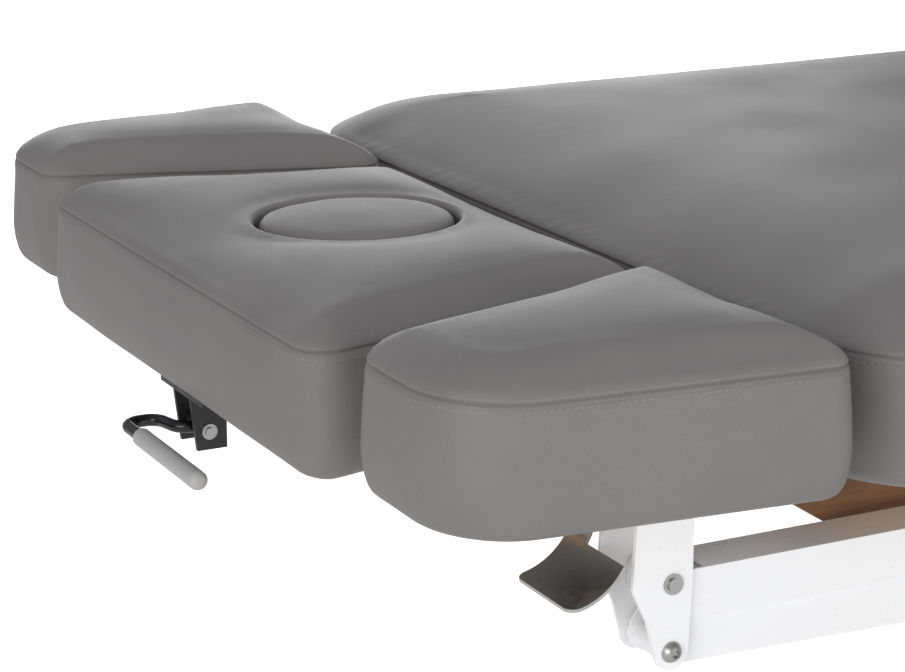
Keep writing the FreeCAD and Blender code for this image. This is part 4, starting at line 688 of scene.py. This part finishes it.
# Loose plug of the face opening
plug_top = PAD_BASE + PAD_SIDE + FACE_DOME[1] + PLUG["proud"]
plug_floor = PAD_BASE + BOARD_THICK + BOARD_PLAY
shell = Shell()
rings = [plug_ring(grow, height) for grow, height in (
    (-6, plug_floor), (-1.5, plug_floor + 0.6), (0, plug_floor + 3), (0, plug_floor + 50), (0, plug_top - 17),
    (0.1, plug_top - 13), (-0.6, plug_top - 10.6), (-2.0, plug_top - 9.9), (-1.4, plug_top - 9.0),
    (-1.4, plug_top - 7.6), (-2.2, plug_top - 5.6), (-4.2, plug_top - 3.6), (-8, plug_top - 2.0),
    (-14, plug_top - 0.9),
    (-22, plug_top - 0.3),
)]
shell.band(rings)
plug_border = plug_ring(-22, 0)
plug_crown = lambda spots: plug_top - 0.3 + 1.6 * np.clip(away(spots, plug_border) / 30, 0, 1) ** 0.8
shell.add(*fill(rings[-1], None, 6.0, plug_crown))
shell.add(*fill(rings[0], None, 12.0, lambda spots: np.full(len(spots), plug_floor)))
plug = shell.mesh("face_plug_pad")
spots = coordinates(plug)
set_coordinates(plug, spots + normals_of(plug) * (waves(spots * 1000, 77, (60, 45, 80), 0.5) / 1000)[:, None])
finish_pad("face_plug", "face_plug", plug, "face_plug")


# Studio: pale floor, soft lights and a white background
def area(name, place, aim, wide, tall, power):
    data = bpy.data.lights.new(name, "AREA")
    data.shape = "RECTANGLE"
    data.size, data.size_y, data.energy = wide, tall, power
    lamp = bpy.data.objects.new(name, data)
    lamp.location = place
    lamp.rotation_euler = (Vector(aim) - Vector(place)).to_track_quat("-Z", "Y").to_euler()
    scene.collection.objects.link(lamp)
    return lamp


area("key_light", (-3.6, -2.2, 1.5), (-0.6, 0, 0.6), 2.4, 1.8, 62)
area("top_light", (0.4, 0.6, 3.6), (0, 0, 0.6), 3.2, 2.4, 11)
area("front_light", (1.2, -4.2, 1.2), (0, 0, 0.5), 3.0, 1.6, 52)
area("back_light", (1.0, 4.2, 1.3), (0, 0, 0.6), 3.0, 1.6, 45)

floor_mesh = bpy.data.meshes.new("floor")
floor_mesh.from_pydata([(-9, -9, 0), (9, -9, 0), (9, 9, 0), (-9, 9, 0)], [], [(0, 1, 2, 3)])
floor = bpy.data.objects.new("floor", floor_mesh)
scene.collection.objects.link(floor)
pale = bpy.data.materials.new("pale_floor")
pale.use_nodes = True
tree = pale.node_tree
shader = tree.nodes["Principled BSDF"]
shader.inputs["Base Color"].default_value = (0.7, 0.7, 0.7, 1)
shader.inputs["Roughness"].default_value = 0.9
shader.inputs["Specular IOR Level"].default_value = 0.1
shader.inputs["Emission Color"].default_value = (1, 1, 1, 1)
seen = tree.nodes.new("ShaderNodeLightPath")
glow = tree.nodes.new("ShaderNodeMapRange")
glow.inputs["To Min"].default_value, glow.inputs["To Max"].default_value = 0.3, 0.88
tree.links.new(seen.outputs["Is Camera Ray"], glow.inputs["Value"])
tree.links.new(glow.outputs["Result"], shader.inputs["Emission Strength"])
floor.data.materials.append(pale)

world = bpy.data.worlds.new("studio")
scene.world = world
world.use_nodes = True
tree = world.node_tree
tree.nodes.clear()
path = tree.nodes.new("ShaderNodeLightPath")
soft = tree.nodes.new("ShaderNodeBackground")
soft.inputs["Color"].default_value = (0.93, 0.95, 1.0, 1)
soft.inputs["Strength"].default_value = 0.42
white = tree.nodes.new("ShaderNodeBackground")
white.inputs["Color"].default_value = (1, 1, 1, 1)
white.inputs["Strength"].default_value = 1.0
choose = tree.nodes.new("ShaderNodeMixShader")
out = tree.nodes.new("ShaderNodeOutputWorld")
tree.links.new(path.outputs["Is Camera Ray"], choose.inputs[0])
tree.links.new(soft.outputs[0], choose.inputs[1])
tree.links.new(white.outputs[0], choose.inputs[2])
tree.links.new(choose.outputs[0], out.inputs["Surface"])

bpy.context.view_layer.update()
